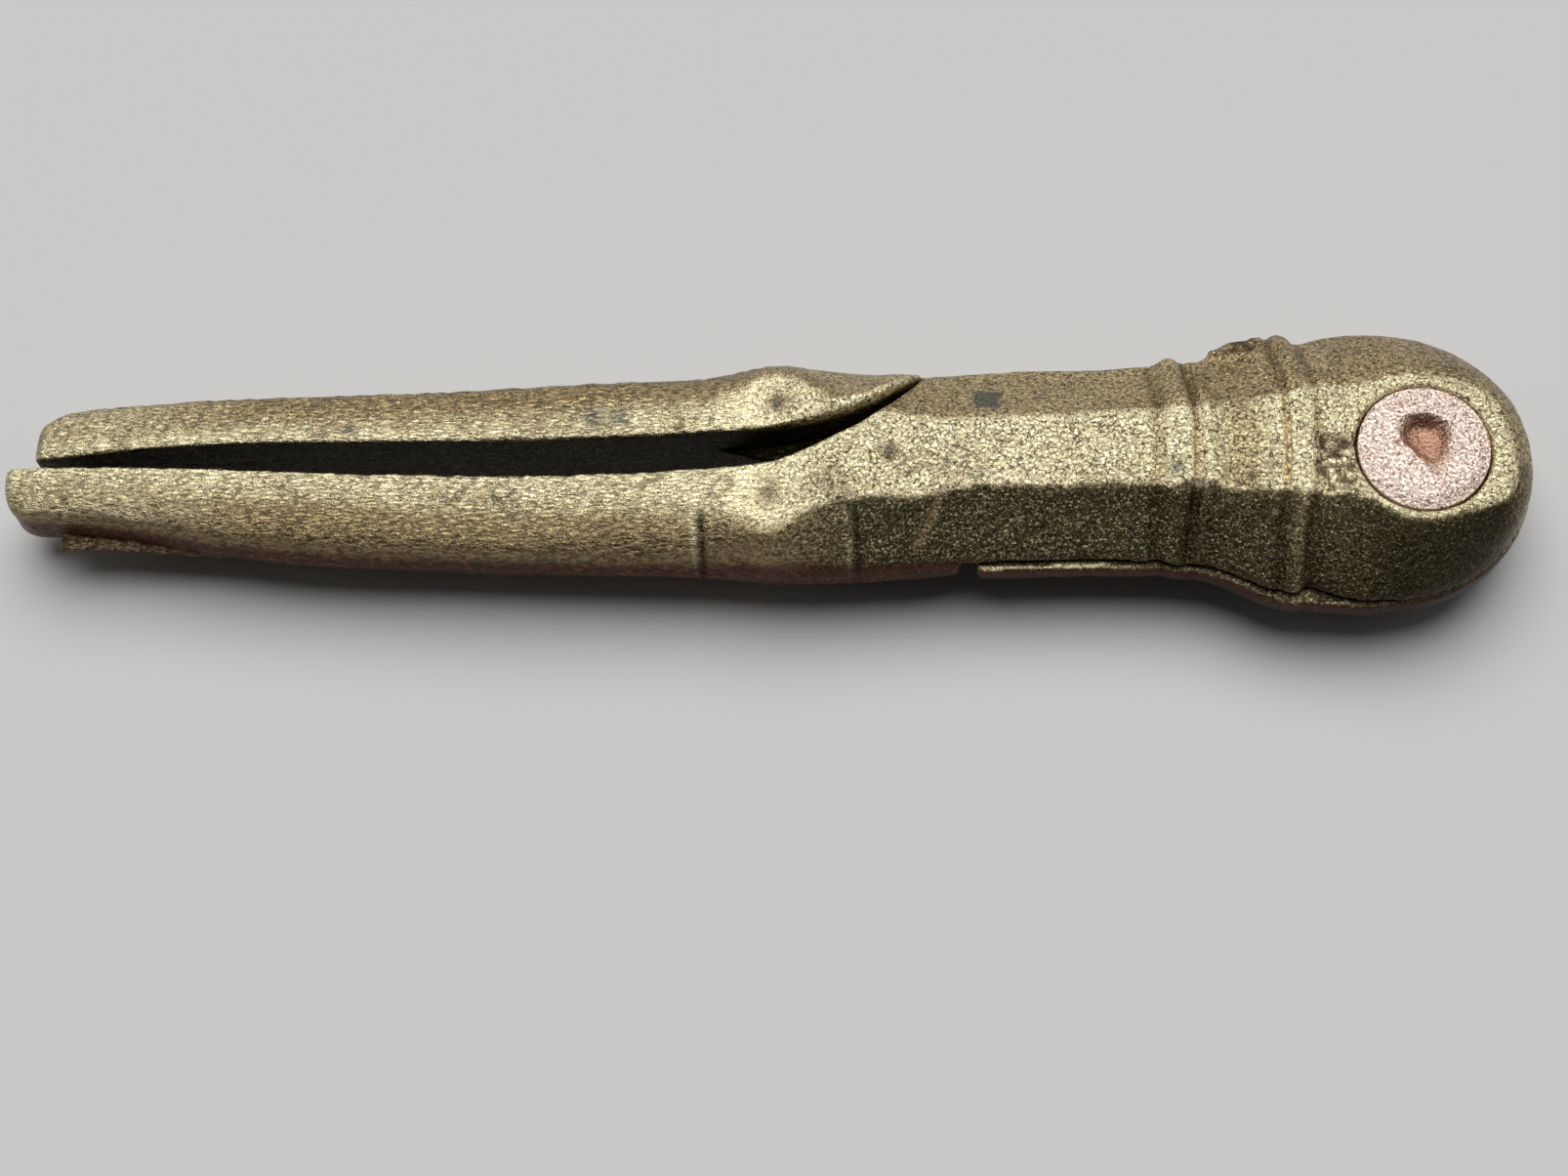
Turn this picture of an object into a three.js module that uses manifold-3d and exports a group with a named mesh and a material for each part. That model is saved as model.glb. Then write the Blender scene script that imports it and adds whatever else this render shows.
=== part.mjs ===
// Cast-brass nutcracker: two levers half-lapped at a round head and turning on a copper rivet.
// Millimetres, +Z up. The pivot is the Z axis, the handles run along -X, the closed pair lies on z = 0.
// The upper lever has the near (-Y) handle and the upper lap plate.
// The lower lever has the far (+Y) handle and the lower lap plate.

import * as THREE from 'three';
import { mergeVertices } from 'three/addons/utils/BufferGeometryUtils.js';
import Module from 'manifold-3d';

const wasm = await Module();
wasm.setup();

// ---- Driving dimensions ----
const NEAR_TIP_X = -120;
const FAR_TIP_X = -117.6;
const HEAD_END_X = 10;
const HEAD_CENTRE_X = -3;
const HEAD_HALF_WIDTH = 12.65;
const HEAD_END_FRACTION = 0.08;
const DOME_START_X = 5.5;
const DOME_POWER = 2.5;
const END_DROP = 2.6;

const RIVET_HEIGHT = 12.4;
const MID_Z = RIVET_HEIGHT / 2;
const SEAM_Z = 7.2;
const SEAM_GAP = 0.3;
const JOIN_OVERLAP = 0.05;
const PLATE_PROUD = 0.35;
const PLATE_START_X = -41;

const RIVET_HEAD_RADIUS = 5.45;
const RIVET_SHANK_RADIUS = 3.6;
const RIVET_LAND = 1.1;
const RIVET_CONE = 1.9;
const RIVET_BEVEL = 0.35;
const RIVET_GAP = 0.2;
const PUNCH_RADIUS = 2.3;
const PUNCH_FLOOR_RADIUS = 1.6;
const PUNCH_EDGE_DEPTH = 1.0;
const PUNCH_DEPTH = 1.3;

const SECTION_POINTS = 16;
const TIP_STATIONS = [0, 0.6, 1.6, 3.2];
const HANDLE_PAST_TIP = 6;
const HANDLE_END_X = -62;
const HANDLE_STEP = 5;
const KNEE_RANGE = [-60, -24, 3];
const MOULDING_RANGE = [-23, -9.4, 0.65];
const HEAD_HALF_TURNS = [-0.16, 0.48, 0.65 / 14];
const LATHE_SIDES = 48;
const SPLINE_STEPS = 3;
const MERGE_TOLERANCE = 1e-5;
const OUTSIDE = 30;
const BORE_OVERRUN = 1;
const BEYOND_TIPS_X = -125;

// Each profile lists [x, value] pairs along the length; a smooth curve joins them.
const HALF_WIDTH = [
  [-112, 6.1], [-104, 7.1], [-96, 7.6], [-88, 7.95], [-80, 8.3], [-72, 8.8], [-62, 9.2],
  [-56, 9.6], [-52, 9.85], [-47, 9.5], [-41, 9.2], [-30, 9.2], [-23, 9.35],
  [-21.4, 9.2], [-20.4, 9.75], [-18.4, 9.85], [-17.5, 9.6], [-16, 10.3], [-13.6, 11.8],
  [-12.4, 12.35], [-11.4, 12.35], [-10.7, 11.85], [-9.8, 12.15], [-8.6, 12.15], [-7.6, 11.9],
  [-5.5, 12.45], [HEAD_CENTRE_X, HEAD_HALF_WIDTH],
];
const HALF_THICKNESS = [
  [-120, 3.3], [-117, 3.7], [-110, 3.9], [-90, 4.0], [-70, 4.15], [-62, 4.35], [-56, 4.9],
  [-50, 5.35], [-44, 5.5], [-23, 5.5], [-21.4, 5.2], [-20.4, 5.65], [-18.4, 5.65],
  [-17.5, 5.3], [-15, 5.55], [-13, 5.7], [-12.3, 6.0], [-11.3, 6.0], [-10.7, 5.65],
  [-9.7, 6.05], [-8.6, 6.0], [-7.6, 5.8], [-5.5, 6.0], [7, 6.0],
];
const FACET_HALF_WIDTH = [
  [-120, 1.9], [-110, 2.3], [-90, 3.0], [-73, 3.7], [-62, 4.5], [-56, 5.6], [-53, 5.4],
  [-49, 4.4], [-43, 3.7], [-36, 3.4], [-22, 3.4], [-14, 4.1], [-8, 4.7], [-4, 5.8],
  [-1, 6.6], [3, 6.3], [6, 4.4], [7.5, 2.4], [10, 0.4],
];
const WALL_HALF_HEIGHT = [[-120, 0.6], [-62, 0.8], [-50, 1.2], [-24, 1.3], [-10, 1.7], [10, 2.0]];
const ROUNDING = [[-120, 0.8], [-70, 1.0], [-56, 0.6], [-46, 0.15], [-14, 0.2], [-6, 0.8], [10, 0.5]];
const LEAST_CHAMFER_HEIGHT = 0.8;
const LEAST_CHAMFER_WIDTH = 0.6;
const TIP_TAPER_X = -110;
const TIP_TAPER = 0.09;
const TIP_ROUNDING_LENGTH = 5;
const TIP_SHRINK = { upper: 0.42, lower: 0.5 };

// Inner edges of the closed handles, then the slanting shoulders that clear the lap plates.
const NEAR_INNER = [[-90, -0.75], [-75, -1.05], [-66, -0.95], [-60, -0.7]];
const NEAR_INNER_TIP = [[BEYOND_TIPS_X, 0.15], [-112, 0.1], [-101, -0.25]];
const FAR_INNER_TIP = [[BEYOND_TIPS_X, 0.75], [-117, 0.8], [-109, 1.55], [-101, 2.05]];
const FAR_INNER = [[-90, 2.15], [-75, 2.2], [-66, 2.4], [-60, 2.6]];
const UPPER_PLATE_EDGE = [[-55, -0.3], [-51.4, 0.8], [-46.8, 3.2], [-43.4, 6.3], [-40.9, 9.7]];
const LOWER_SHOULDER_TOP = [[-55, 2.75], [-51.4, 3.4], [-46.8, 4.85], [-43.6, 6.9], [-41.3, 9.8]];
const LOWER_PLATE_EDGE = [[-56, 1.8], [-50, -0.2], [-45, -2.9], [-40.5, -6.4], [-36.8, -10.2]];
const UPPER_SHOULDER_BOTTOM = [[-54, -1.6], [-49, -3.4], [-44, -5.9], [-40, -8.6], [-38.3, -10.2]];

// ---- Helpers ----
function along(keys) {
  const xs = keys.map((key) => key[0]);
  const values = keys.map((key) => key[1]);
  const curve = new THREE.CubicInterpolant(xs, values, 1, new Float64Array(1));
  const first = xs[0];
  const last = xs[xs.length - 1];
  return (x) => curve.evaluate(THREE.MathUtils.clamp(x, first, last))[0];
}

const plainHalfWidth = along(HALF_WIDTH);
const halfThickness = along(HALF_THICKNESS);
const facetHalfWidth = along(FACET_HALF_WIDTH);
const wallHalfHeight = along(WALL_HALF_HEIGHT);
const rounding = along(ROUNDING);

function solidFrom(geometry) {
  const positions = geometry.clone();
  positions.deleteAttribute('normal');
  positions.deleteAttribute('uv');
  const merged = mergeVertices(positions, MERGE_TOLERANCE);
  const vertProperties = new Float32Array(merged.attributes.position.array);
  const triVerts = new Uint32Array(merged.index.array);
  return new wasm.Manifold(new wasm.Mesh({ numProp: 3, vertProperties, triVerts }));
}

function geometryFrom(solid) {
  const mesh = solid.getMesh();
  const geometry = new THREE.BufferGeometry();
  geometry.setAttribute('position', new THREE.BufferAttribute(mesh.vertProperties, 3));
  geometry.setIndex(new THREE.BufferAttribute(mesh.triVerts, 1));
  geometry.computeVertexNormals();
  return geometry;
}

function range(from, to, step) {
  const count = Math.round((to - from) / step);
  return Array.from({ length: count }, (_, i) => from + i * step);
}

// ---- Outer form ----
// Half width of the plan outline: a soft corner at the tip, the profile, then the head's half ellipse.
function halfWidth(x, tipX, tipShrink) {
  if (x > HEAD_CENTRE_X) {
    const along01 = (x - HEAD_CENTRE_X) / (HEAD_END_X - HEAD_CENTRE_X);
    return HEAD_HALF_WIDTH * Math.sqrt(Math.max(1 - along01 ** 2, HEAD_END_FRACTION ** 2));
  }
  const fromTip = THREE.MathUtils.clamp((x - tipX) / TIP_ROUNDING_LENGTH, 0, 1);
  const corner = tipShrink * (1 - Math.sqrt(1 - (1 - fromTip) ** 2));
  return plainHalfWidth(x) * (1 - corner) - TIP_TAPER * Math.max(0, TIP_TAPER_X - x);
}

// Thickness falls away over the last of the head, so that its end is domed.
function domedHalfThickness(x) {
  const past = THREE.MathUtils.clamp((x - DOME_START_X) / (HEAD_END_X - DOME_START_X), 0, 1);
  return halfThickness(x) - END_DROP * past ** DOME_POWER;
}

// One quarter of the section: down the wall's upper half, then up a rounded chamfer to the facet.
function quarterSection(x, width) {
  const top = domedHalfThickness(x);
  const wall = Math.min(wallHalfHeight(x), top - LEAST_CHAMFER_HEIGHT);
  const facet = Math.min(facetHalfWidth(x), width - LEAST_CHAMFER_WIDTH);
  const low = new THREE.Vector2(width, wall);
  const high = new THREE.Vector2(facet, top);
  const outward = new THREE.Vector2(top - wall, width - facet).normalize();
  return [0, 1 / 3, 2 / 3, 1].map((t) => {
    const bulge = rounding(x) * Math.sin(Math.PI * t);
    return low.clone().lerp(high, t).addScaledVector(outward, bulge);
  });
}

// The whole section, counterclockwise from the far wall; the underside has one point fewer on each side.
function section(x, farWidth, nearWidth) {
  const far = quarterSection(x, farWidth);
  const near = quarterSection(x, nearWidth);
  const top = [[farWidth, 0]];
  far.forEach((p) => top.push([p.x, p.y]));
  [...near].reverse().forEach((p) => top.push([-p.x, p.y]));
  top.push([-nearWidth, 0]);
  const bottomNear = [near[0], near[1], near[3]].map((p) => [-p.x, -p.y]);
  const bottomFar = [far[3], far[1], far[0]].map((p) => [p.x, -p.y]);
  return [...top, ...bottomNear, ...bottomFar];
}

// Places of the sections: close together at the tip, the mouldings and the round of the head.
function stations(tipX) {
  const tip = TIP_STATIONS.map((past) => tipX + past);
  const handle = range(tipX + HANDLE_PAST_TIP, HANDLE_END_X, HANDLE_STEP);
  const knee = range(...KNEE_RANGE);
  const mouldings = range(...MOULDING_RANGE);
  const head = range(...HEAD_HALF_TURNS).map((halfTurns) => {
    return HEAD_CENTRE_X + (HEAD_END_X - HEAD_CENTRE_X) * Math.sin(halfTurns * Math.PI);
  });
  return [...tip, ...handle, ...knee, ...mouldings, ...head, HEAD_END_X];
}

// A cylinder blank whose rings are reshaped into the sections along the lever.
function outerForm(lever) {
  const tipX = lever === 'upper' ? NEAR_TIP_X : FAR_TIP_X;
  const xs = stations(tipX);
  const rings = xs.length - 1;
  const blank = new THREE.CylinderGeometry(1, 1, 1, SECTION_POINTS, rings);
  const sections = xs.map((x) => {
    const width = halfWidth(x, tipX, TIP_SHRINK[lever]);
    const proud = x > PLATE_START_X ? PLATE_PROUD * Math.min(1, width / plainHalfWidth(x)) : 0;
    const farWidth = width + (lever === 'upper' ? proud : 0);
    const nearWidth = width + (lever === 'lower' ? proud : 0);
    return section(x, farWidth, nearWidth);
  });
  const position = blank.attributes.position;
  for (let i = 0; i < position.count; i += 1) {
    const ring = Math.round((position.getY(i) + 0.5) * rings);
    const angle = Math.atan2(position.getX(i), position.getZ(i));
    const turn = Math.round((angle / (2 * Math.PI)) * SECTION_POINTS);
    const side = (turn + SECTION_POINTS) % SECTION_POINTS;
    const onAxis = Math.hypot(position.getX(i), position.getZ(i)) < 0.5;
    const [y, z] = onAxis ? [0, 0] : sections[ring][side];
    position.setXYZ(i, xs[ring], y, MID_Z + z);
  }
  return solidFrom(blank);
}

// ---- Plan regions that share the form out between the levers ----
function planRegion(edge, corners, z0, z1) {
  const outline = new THREE.Shape();
  outline.moveTo(...edge[0]);
  outline.splineThru(edge.slice(1).map(([x, y]) => new THREE.Vector2(x, y)));
  corners.forEach(([x, y]) => outline.lineTo(x, y));
  const options = { depth: z1 - z0, bevelEnabled: false, curveSegments: SPLINE_STEPS };
  return solidFrom(new THREE.ExtrudeGeometry(outline, options).translate(0, 0, z0));
}

// The upper lever: near handle at full thickness, lap plate above the seam.
function upperRegion() {
  const split = SEAM_Z + SEAM_GAP / 2;
  const inner = [...NEAR_INNER_TIP, ...NEAR_INNER];
  const nearSide = [[BEYOND_TIPS_X, -OUTSIDE]];
  const plateSides = [[OUTSIDE, OUTSIDE], [OUTSIDE, -OUTSIDE], ...nearSide];
  const plate = planRegion([...inner, ...UPPER_PLATE_EDGE], plateSides, split, OUTSIDE);
  const handle = planRegion([...inner, ...UPPER_SHOULDER_BOTTOM], nearSide, -OUTSIDE,
    split + JOIN_OVERLAP);
  return plate.add(handle);
}

// The lower lever: far handle at full thickness, lap plate below the seam.
function lowerRegion() {
  const split = SEAM_Z - SEAM_GAP / 2;
  const inner = [...FAR_INNER_TIP, ...FAR_INNER];
  const farSide = [[BEYOND_TIPS_X, OUTSIDE]];
  const plateSides = [[OUTSIDE, -OUTSIDE], [OUTSIDE, OUTSIDE], ...farSide];
  const plate = planRegion([...inner, ...LOWER_PLATE_EDGE], plateSides, -OUTSIDE, split);
  const handle = planRegion([...inner, ...LOWER_SHOULDER_TOP], farSide, split - JOIN_OVERLAP,
    OUTSIDE);
  return plate.add(handle);
}

// ---- Rivet: a copper pin with a countersunk head peened into each face ----
function rivetSide(grow) {
  return [
    [RIVET_HEAD_RADIUS + grow, RIVET_BEVEL - grow],
    [RIVET_HEAD_RADIUS + grow, RIVET_LAND],
    [RIVET_SHANK_RADIUS + grow, RIVET_LAND + RIVET_CONE],
  ];
}

function lathed(points) {
  const profile = points.map(([r, z]) => new THREE.Vector2(r, z));
  return solidFrom(new THREE.LatheGeometry(profile, LATHE_SIDES).rotateX(Math.PI / 2));
}

function flipped(points) {
  return [...points].reverse().map(([r, z]) => [r, RIVET_HEIGHT - z]);
}

function rivetSolid() {
  const side = rivetSide(0);
  const face = RIVET_HEAD_RADIUS - RIVET_BEVEL;
  const foot = [[0, 0], [face, 0]];
  const crown = [
    [face, RIVET_HEIGHT],
    [PUNCH_RADIUS, RIVET_HEIGHT],
    [PUNCH_FLOOR_RADIUS, RIVET_HEIGHT - PUNCH_EDGE_DEPTH],
    [0, RIVET_HEIGHT - PUNCH_DEPTH],
  ];
  return lathed([...foot, ...side, ...flipped(side), ...crown]);
}

// The bore follows the rivet's side a clearance away and runs on past both faces.
function boreSolid() {
  const side = rivetSide(RIVET_GAP);
  side[0] = [side[0][0], -BORE_OVERRUN];
  return lathed([[0, -BORE_OVERRUN], ...side, ...flipped(side), [0, RIVET_HEIGHT + BORE_OVERRUN]]);
}

// ---- Assembly ----
function named(name, solid, material) {
  const mesh = new THREE.Mesh(geometryFrom(solid), material);
  mesh.name = name;
  return mesh;
}

function metal(color, roughness) {
  return new THREE.MeshStandardMaterial({ color, roughness, metalness: 1 });
}

const UPPER_BRASS = metal(0xa89450, 0.42);
const LOWER_BRASS = metal(0x9c8748, 0.45);
const COPPER = metal(0xc08a76, 0.5);

const bore = boreSolid();
const upperLever = outerForm('upper').intersect(upperRegion()).subtract(bore);
const lowerLever = outerForm('lower').intersect(lowerRegion()).subtract(bore);

const nutcracker = new THREE.Group();
nutcracker.add(named('upper_lever', upperLever, UPPER_BRASS));
nutcracker.add(named('lower_lever', lowerLever, LOWER_BRASS));
nutcracker.add(named('pivot_rivet', rivetSolid(), COPPER));

export default nutcracker;
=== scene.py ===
"""Looks of the cast-brass nutcracker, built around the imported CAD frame.

Each lever is a field of distances on a fine grid, its smooth form shared out at the seam and the
shoulders, turned into a mesh of small quads that is then worked over like clay: dents, creases,
casting flash and pits. The rivet is a peened disc with a punched hollow. Shapes are worked out in
millimetres in the CAD frame and become metres at the end.
"""

import math
from types import SimpleNamespace

import bpy
import numpy as np
from mathutils import Matrix, Vector


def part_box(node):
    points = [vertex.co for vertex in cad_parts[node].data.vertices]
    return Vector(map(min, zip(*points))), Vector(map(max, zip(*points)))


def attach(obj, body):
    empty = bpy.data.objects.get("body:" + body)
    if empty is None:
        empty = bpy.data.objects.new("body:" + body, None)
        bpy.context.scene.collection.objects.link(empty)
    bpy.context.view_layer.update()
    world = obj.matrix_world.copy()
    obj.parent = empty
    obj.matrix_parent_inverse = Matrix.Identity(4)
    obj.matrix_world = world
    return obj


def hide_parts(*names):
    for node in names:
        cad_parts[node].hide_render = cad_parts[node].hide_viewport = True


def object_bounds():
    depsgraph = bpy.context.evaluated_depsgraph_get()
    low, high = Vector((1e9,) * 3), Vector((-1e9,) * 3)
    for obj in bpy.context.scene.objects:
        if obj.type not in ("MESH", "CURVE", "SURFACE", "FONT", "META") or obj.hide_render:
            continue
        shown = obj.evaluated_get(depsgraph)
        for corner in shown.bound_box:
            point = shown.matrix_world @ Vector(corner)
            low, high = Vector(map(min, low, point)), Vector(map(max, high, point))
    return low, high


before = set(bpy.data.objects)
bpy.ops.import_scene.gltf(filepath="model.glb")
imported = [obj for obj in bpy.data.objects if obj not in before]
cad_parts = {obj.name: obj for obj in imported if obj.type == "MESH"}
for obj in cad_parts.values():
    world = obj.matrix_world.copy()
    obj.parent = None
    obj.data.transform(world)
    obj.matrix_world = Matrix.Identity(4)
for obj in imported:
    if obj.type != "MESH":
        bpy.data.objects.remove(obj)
cad_box = [list(corner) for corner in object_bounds()]

MM = 0.001

# ---- Places from the frame, in millimetres ----
NEAR_TIP_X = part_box("upper_lever")[0].x / MM
FAR_TIP_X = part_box("lower_lever")[0].x / MM
HEAD_END_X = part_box("upper_lever")[1].x / MM
RIVET_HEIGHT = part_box("pivot_rivet")[1].z / MM
MID_Z = RIVET_HEIGHT / 2
BOX_LOW = np.array(cad_box[0]) / MM
BOX_HIGH = np.array(cad_box[1]) / MM

# ---- Camera ----
CAMERA_PLACE = Vector((-44.9, -98.9, 227.8)) * MM
CAMERA_TARGET = Vector((-53.6, -7.4, 0.0)) * MM
CAMERA_ROLL = math.radians(-5.32)
LENS = 65.0
SENSOR = 36.0

# ---- Form of the levers ----
GRID_STEP = 0.24
GRID_MARGIN = 1.2
HEAD_CENTRE_X = -3.0
HEAD_WIDTH = 12.5
HEAD_LEAN = 0.45
HEAD_ROUND = HEAD_WIDTH / (HEAD_END_X - HEAD_CENTRE_X)
SEAM_Z = 7.2
SEAM_GAP = 0.14

FAR_WIDTH = [
    [-118, 3.4], [-117.6, 4.4], [-116.6, 5.4], [-115.5, 6.1], [-111.5, 6.8], [-103.8, 7.3],
    [-96, 7.5], [-88.5, 7.8], [-80.8, 8.05], [-75.7, 8.4], [-70.6, 8.7], [-65.6, 9.05],
    [-60.5, 9.35], [-57.9, 9.7], [-55.4, 10.05], [-52.9, 10.3], [-50.3, 10.15], [-47.8, 9.85],
    [-45.3, 9.65], [-40.2, 9.55], [-36.8, 9.75], [-32.6, 10], [-28.4, 10.05], [-25, 10.15],
    [-22.6, 10.4], [-21.4, 10.45], [-20.4, 10.8], [-19.4, 10.75], [-18.6, 10.5], [-17.4, 11],
    [-15.9, 11.5], [-14, 12.15], [-12.8, 12.75], [-11.6, 12.8], [-10.4, 12.55], [-9.4, 12.3],
    [-8.4, 12.45], [-7, 12.75], [-5.6, 12.9], [HEAD_CENTRE_X, 12.95],
]
NEAR_WIDTH = [
    [-120, 2.9], [-119.5, 3.4], [-118.6, 4], [-116.3, 4.35], [-110.5, 5], [-102, 6.5],
    [-95.2, 7.5], [-90.7, 7.8], [-84.6, 8], [-78.7, 8.25], [-73.6, 8.45], [-67, 8.65],
    [-60.8, 8.85], [-55.3, 9.2], [-51.9, 9.3], [-47.8, 9.25], [-43, 9], [-38.4, 8.6],
    [-32.2, 8.4], [-26.5, 8.35], [-23, 8.5], [-21.6, 8.45], [-20.4, 8.75], [-18.8, 8.8],
    [-17.8, 9], [-15.6, 9.8], [-13.6, 10.65], [-11.8, 11.2], [-10.6, 11.15], [-9.9, 10.8],
    [-8.8, 11.1], [-7.2, 11.6], [-5.6, 11.95], [HEAD_CENTRE_X, 12.05],
]
# How far the lower plate's near edge stands out past the upper one.
LEDGE = [
    [-40, 0.45], [-34, 0.45], [-26.5, 0.4], [-22, 0.35], [-17.6, 0.35], [-13.6, 0.5],
    [-11.2, 0.75], [-10.4, 0.95], [-9.8, 1.15], [-8.8, 0.95], [-7.2, 0.6], [-5.6, 0.35],
    [HEAD_CENTRE_X, 0.2],
]
HALF_THICKNESS = [
    [-120, 3.3], [-117, 3.7], [-110, 3.9], [-90, 4], [-70, 4.15], [-62, 4.35],
    [-56, 4.9], [-50, 5.35], [-44, 5.5], [-30, 5.5], [-23.4, 5.5], [-22.4, 5.4],
    [-21.8, 5.22], [-21.2, 5.52], [-20.4, 5.68], [-19.4, 5.64], [-18.8, 5.5], [-18.4, 5.2],
    [-18, 5.52], [-17.5, 5.55], [-16.9, 5.3], [-16.2, 5.24], [-15, 5.4], [-13.4, 5.68],
    [-12.8, 5.76], [-12.4, 5.96], [-11.8, 6.04], [-11.4, 5.96], [-11.1, 5.66], [-10.8, 5.98],
    [-10.2, 6.13], [-9.3, 6.12], [-8.8, 5.98], [-8.4, 5.72], [-7.8, 5.76], [-6.6, 5.9],
    [-5, 5.98], [-4, 6],
]
# Where the flat top gives way to the slope, on either side and round the head by angle.
NEAR_FACET = [
    [-118.6, 2.4], [-115, 2], [-111, 2.1], [-102, 2.5], [-90, 3], [-82, 3.9],
    [-73, 4.4], [-66, 4.2], [-61.7, 4.7], [-58.5, 4.9], [-56.2, 5.8], [-54.5, 6.5],
    [-52.6, 5.8], [-50.2, 4.4], [-48.3, 3.9], [-46.2, 3.8], [-43.5, 3.7], [-40.7, 3.5],
    [-38.5, 2.95], [-33, 2.9], [-27, 2.85], [-22, 2.9], [-17, 2.9], [-13, 3.5],
    [-9, 3.9], [-6.5, 3.9], [-4.5, 4.3], [HEAD_CENTRE_X, 5.2],
]
FAR_FACET_UPPER = [
    [-50, 4.2], [-46, 4.2], [-43, 3.6], [-40, 3.3], [-36, 3.4], [-30, 3.5],
    [-21, 4.1], [-18.2, 4.4], [-12.7, 4.9], [-10.8, 5.3], [-8.5, 5.9], [-6, 5.6],
    [HEAD_CENTRE_X, 6.3],
]
FAR_FACET_LOWER = [
    [-117, 3.2], [-108, 3.9], [-95.5, 4.4], [-87, 4.5], [-78.7, 4.8], [-66.9, 5.5],
    [-60.3, 5.7], [-58.6, 6.1], [-56.5, 7.1], [-54.8, 7.7], [-52.7, 7.5], [-50.6, 6],
    [-48.9, 5.2], [-47.5, 5.4], [-44.8, 6.3], [-41.2, 7.2],
]
HEAD_FACET = [
    [-90, 5.2], [-84, 5.7], [-69, 6.7], [-52, 7.6], [-36, 9], [-25, 10.3],
    [-15, 10.3], [0, 9.9], [15, 9.8], [27, 9.7], [48, 8.4], [78, 6.8], [90, 6.3],
]
WALL_HALF_HEIGHT = [
    [-120, 0.6], [-62, 0.8], [-50, 1.2], [-24, 1.2], [-10, 1.4], [10, 1.6],
]
BULGE = [
    [-120, 0.8], [-70, 0.95], [-60, 0.6], [-50, 0.3], [-44, 0.12], [-14, 0.2],
    [-6, 0.45], [10, 0.5],
]
EDGE_SOFTNESS = [
    [-120, 1.6], [-70, 1.5], [-58, 0.9], [-46, 0.55], [-6, 0.6], [10, 0.9],
]
WALL_SOFTNESS = 0.9
# The flat top ends at least this far inside the outline, and the wall this far below the top.
FACET_INSET = 0.5
WALL_BELOW_TOP = 0.8
# The rings bow across the top by this much times the square of y, up to the reach.
RING_BOW = 0.011
RING_BOW_CENTRE_Y = 2.0
RING_BOW_REACH = 9
RINGS_START = (-26, -20)
LEDGE_START = (-41, -39)

# Inner edges, seen from above: the handle part of each lever, then its shoulder or plate edge.
NEAR_INNER = [
    [-125, 0.15], [-112, 0.1], [-101, -0.25], [-90, -0.75], [-75, -1.05],
    [-66, -0.95], [-60, -0.7],
]
FAR_INNER = [
    [-125, 0.75], [-117, 0.8], [-109, 1.55], [-101, 2.05], [-90, 2.15], [-75, 2.2],
    [-66, 2.4], [-60, 2.6],
]
UPPER_PLATE_EDGE = [
    [-56, -0.5], [-53.5, 0], [-51.4, 0.8], [-49.3, 1.8], [-46.8, 3.2], [-44.4, 5.2],
    [-42.9, 6.9], [-41.2, 9.1], [-39, 13],
]
UPPER_SHOULDER = [
    [-54, -1.6], [-49, -3.4], [-44, -5.9], [-39, -7.7], [-38.4, -8.6], [-38, -9.4],
    [-37.6, -15],
]
LOWER_SHOULDER = [
    [-56, 2.65], [-51.4, 3.35], [-49.3, 3.85], [-46.8, 4.75], [-44.4, 6], [-42.9, 7.45],
    [-41.4, 9.4], [-39, 13.6],
]
LOWER_PLATE_EDGE = [
    [-56, 1.8], [-50, -0.2], [-45, -2.9], [-40.5, -6], [-37, -9], [-36.4, -15],
]
HANDLE_EDGE = {"upper": NEAR_INNER + UPPER_SHOULDER, "lower": FAR_INNER + LOWER_SHOULDER}
PLATE_EDGE = {"upper": NEAR_INNER + UPPER_PLATE_EDGE, "lower": FAR_INNER + LOWER_PLATE_EDGE}
# How softly cuts meet the outline.
TIP_SOFTNESS = 0.9
PLATE_SOFTNESS = 0.2
CUT_SOFTNESS = 0.28
BORE_SOFTNESS = 0.2
# The lower lever's shoulder is rubbed round on top. The end counts away from the rivet.
RUBBED_START = (-53, -49)
RUBBED_END = (39, 41)
RUBBED_SOFTNESS = 1.1
RUBBED_ABOVE_SEAM = 1

# ---- Casting flash ----
# The fin along the parting line at the near tip: [x, distance from the middle line] of its edge.
FIN_REACH = [[-116, 5.6], [-115.2, 5.85], [-113.8, 5.75], [-108, 6.05], [-101.5, 6.5]]
FIN_SPAN = (-115.9, -101.5)
FIN_INNER_Y = -2.5
FIN_Z = 5.3
FIN_HALF_THICKNESS = 0.3
# Its edge is ragged by two waves: height, radians per millimetre and start. Pockets thin its faces.
FIN_WAVES = [(0.04, 2.1, 0), (0.04, 5.3, 1)]
POCKET_DEPTH = 0.1
POCKET_RATE = 2.6
POCKET_WALLS = (0.2, 0.7)
FIN_SOFTNESS = 0.25
# The lump at the far side of the neck, as balls that run together: [x, y, z, radius].
LUMP_BALLS = [
    [-16.7, 10.9, 7.9, 0.4], [-16.1, 11.05, 8, 0.5], [-15.5, 11.3, 7.9, 0.6],
    [-14.8, 11.5, 7.9, 0.65], [-14.1, 11.6, 7.9, 0.6], [-13.6, 11.65, 8, 0.5],
    [-14.5, 11.1, 8.2, 0.6], [-15.3, 10.9, 8.2, 0.5],
]
BALL_SOFTNESS = 0.3
LUMP_SOFTNESS = 0.35

# ---- Rivet ----
RIVET_RADIUS = 5.48
HOLE_RADIUS = 5.66
SHANK_RADIUS = 3.6
HOLE_GAP = 0.2
RIVET_LAND = 1.1
RIVET_CONE = 1.9


# ---- Number helpers ----
TINY = 1e-6
FAR_AWAY = 99.0


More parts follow.
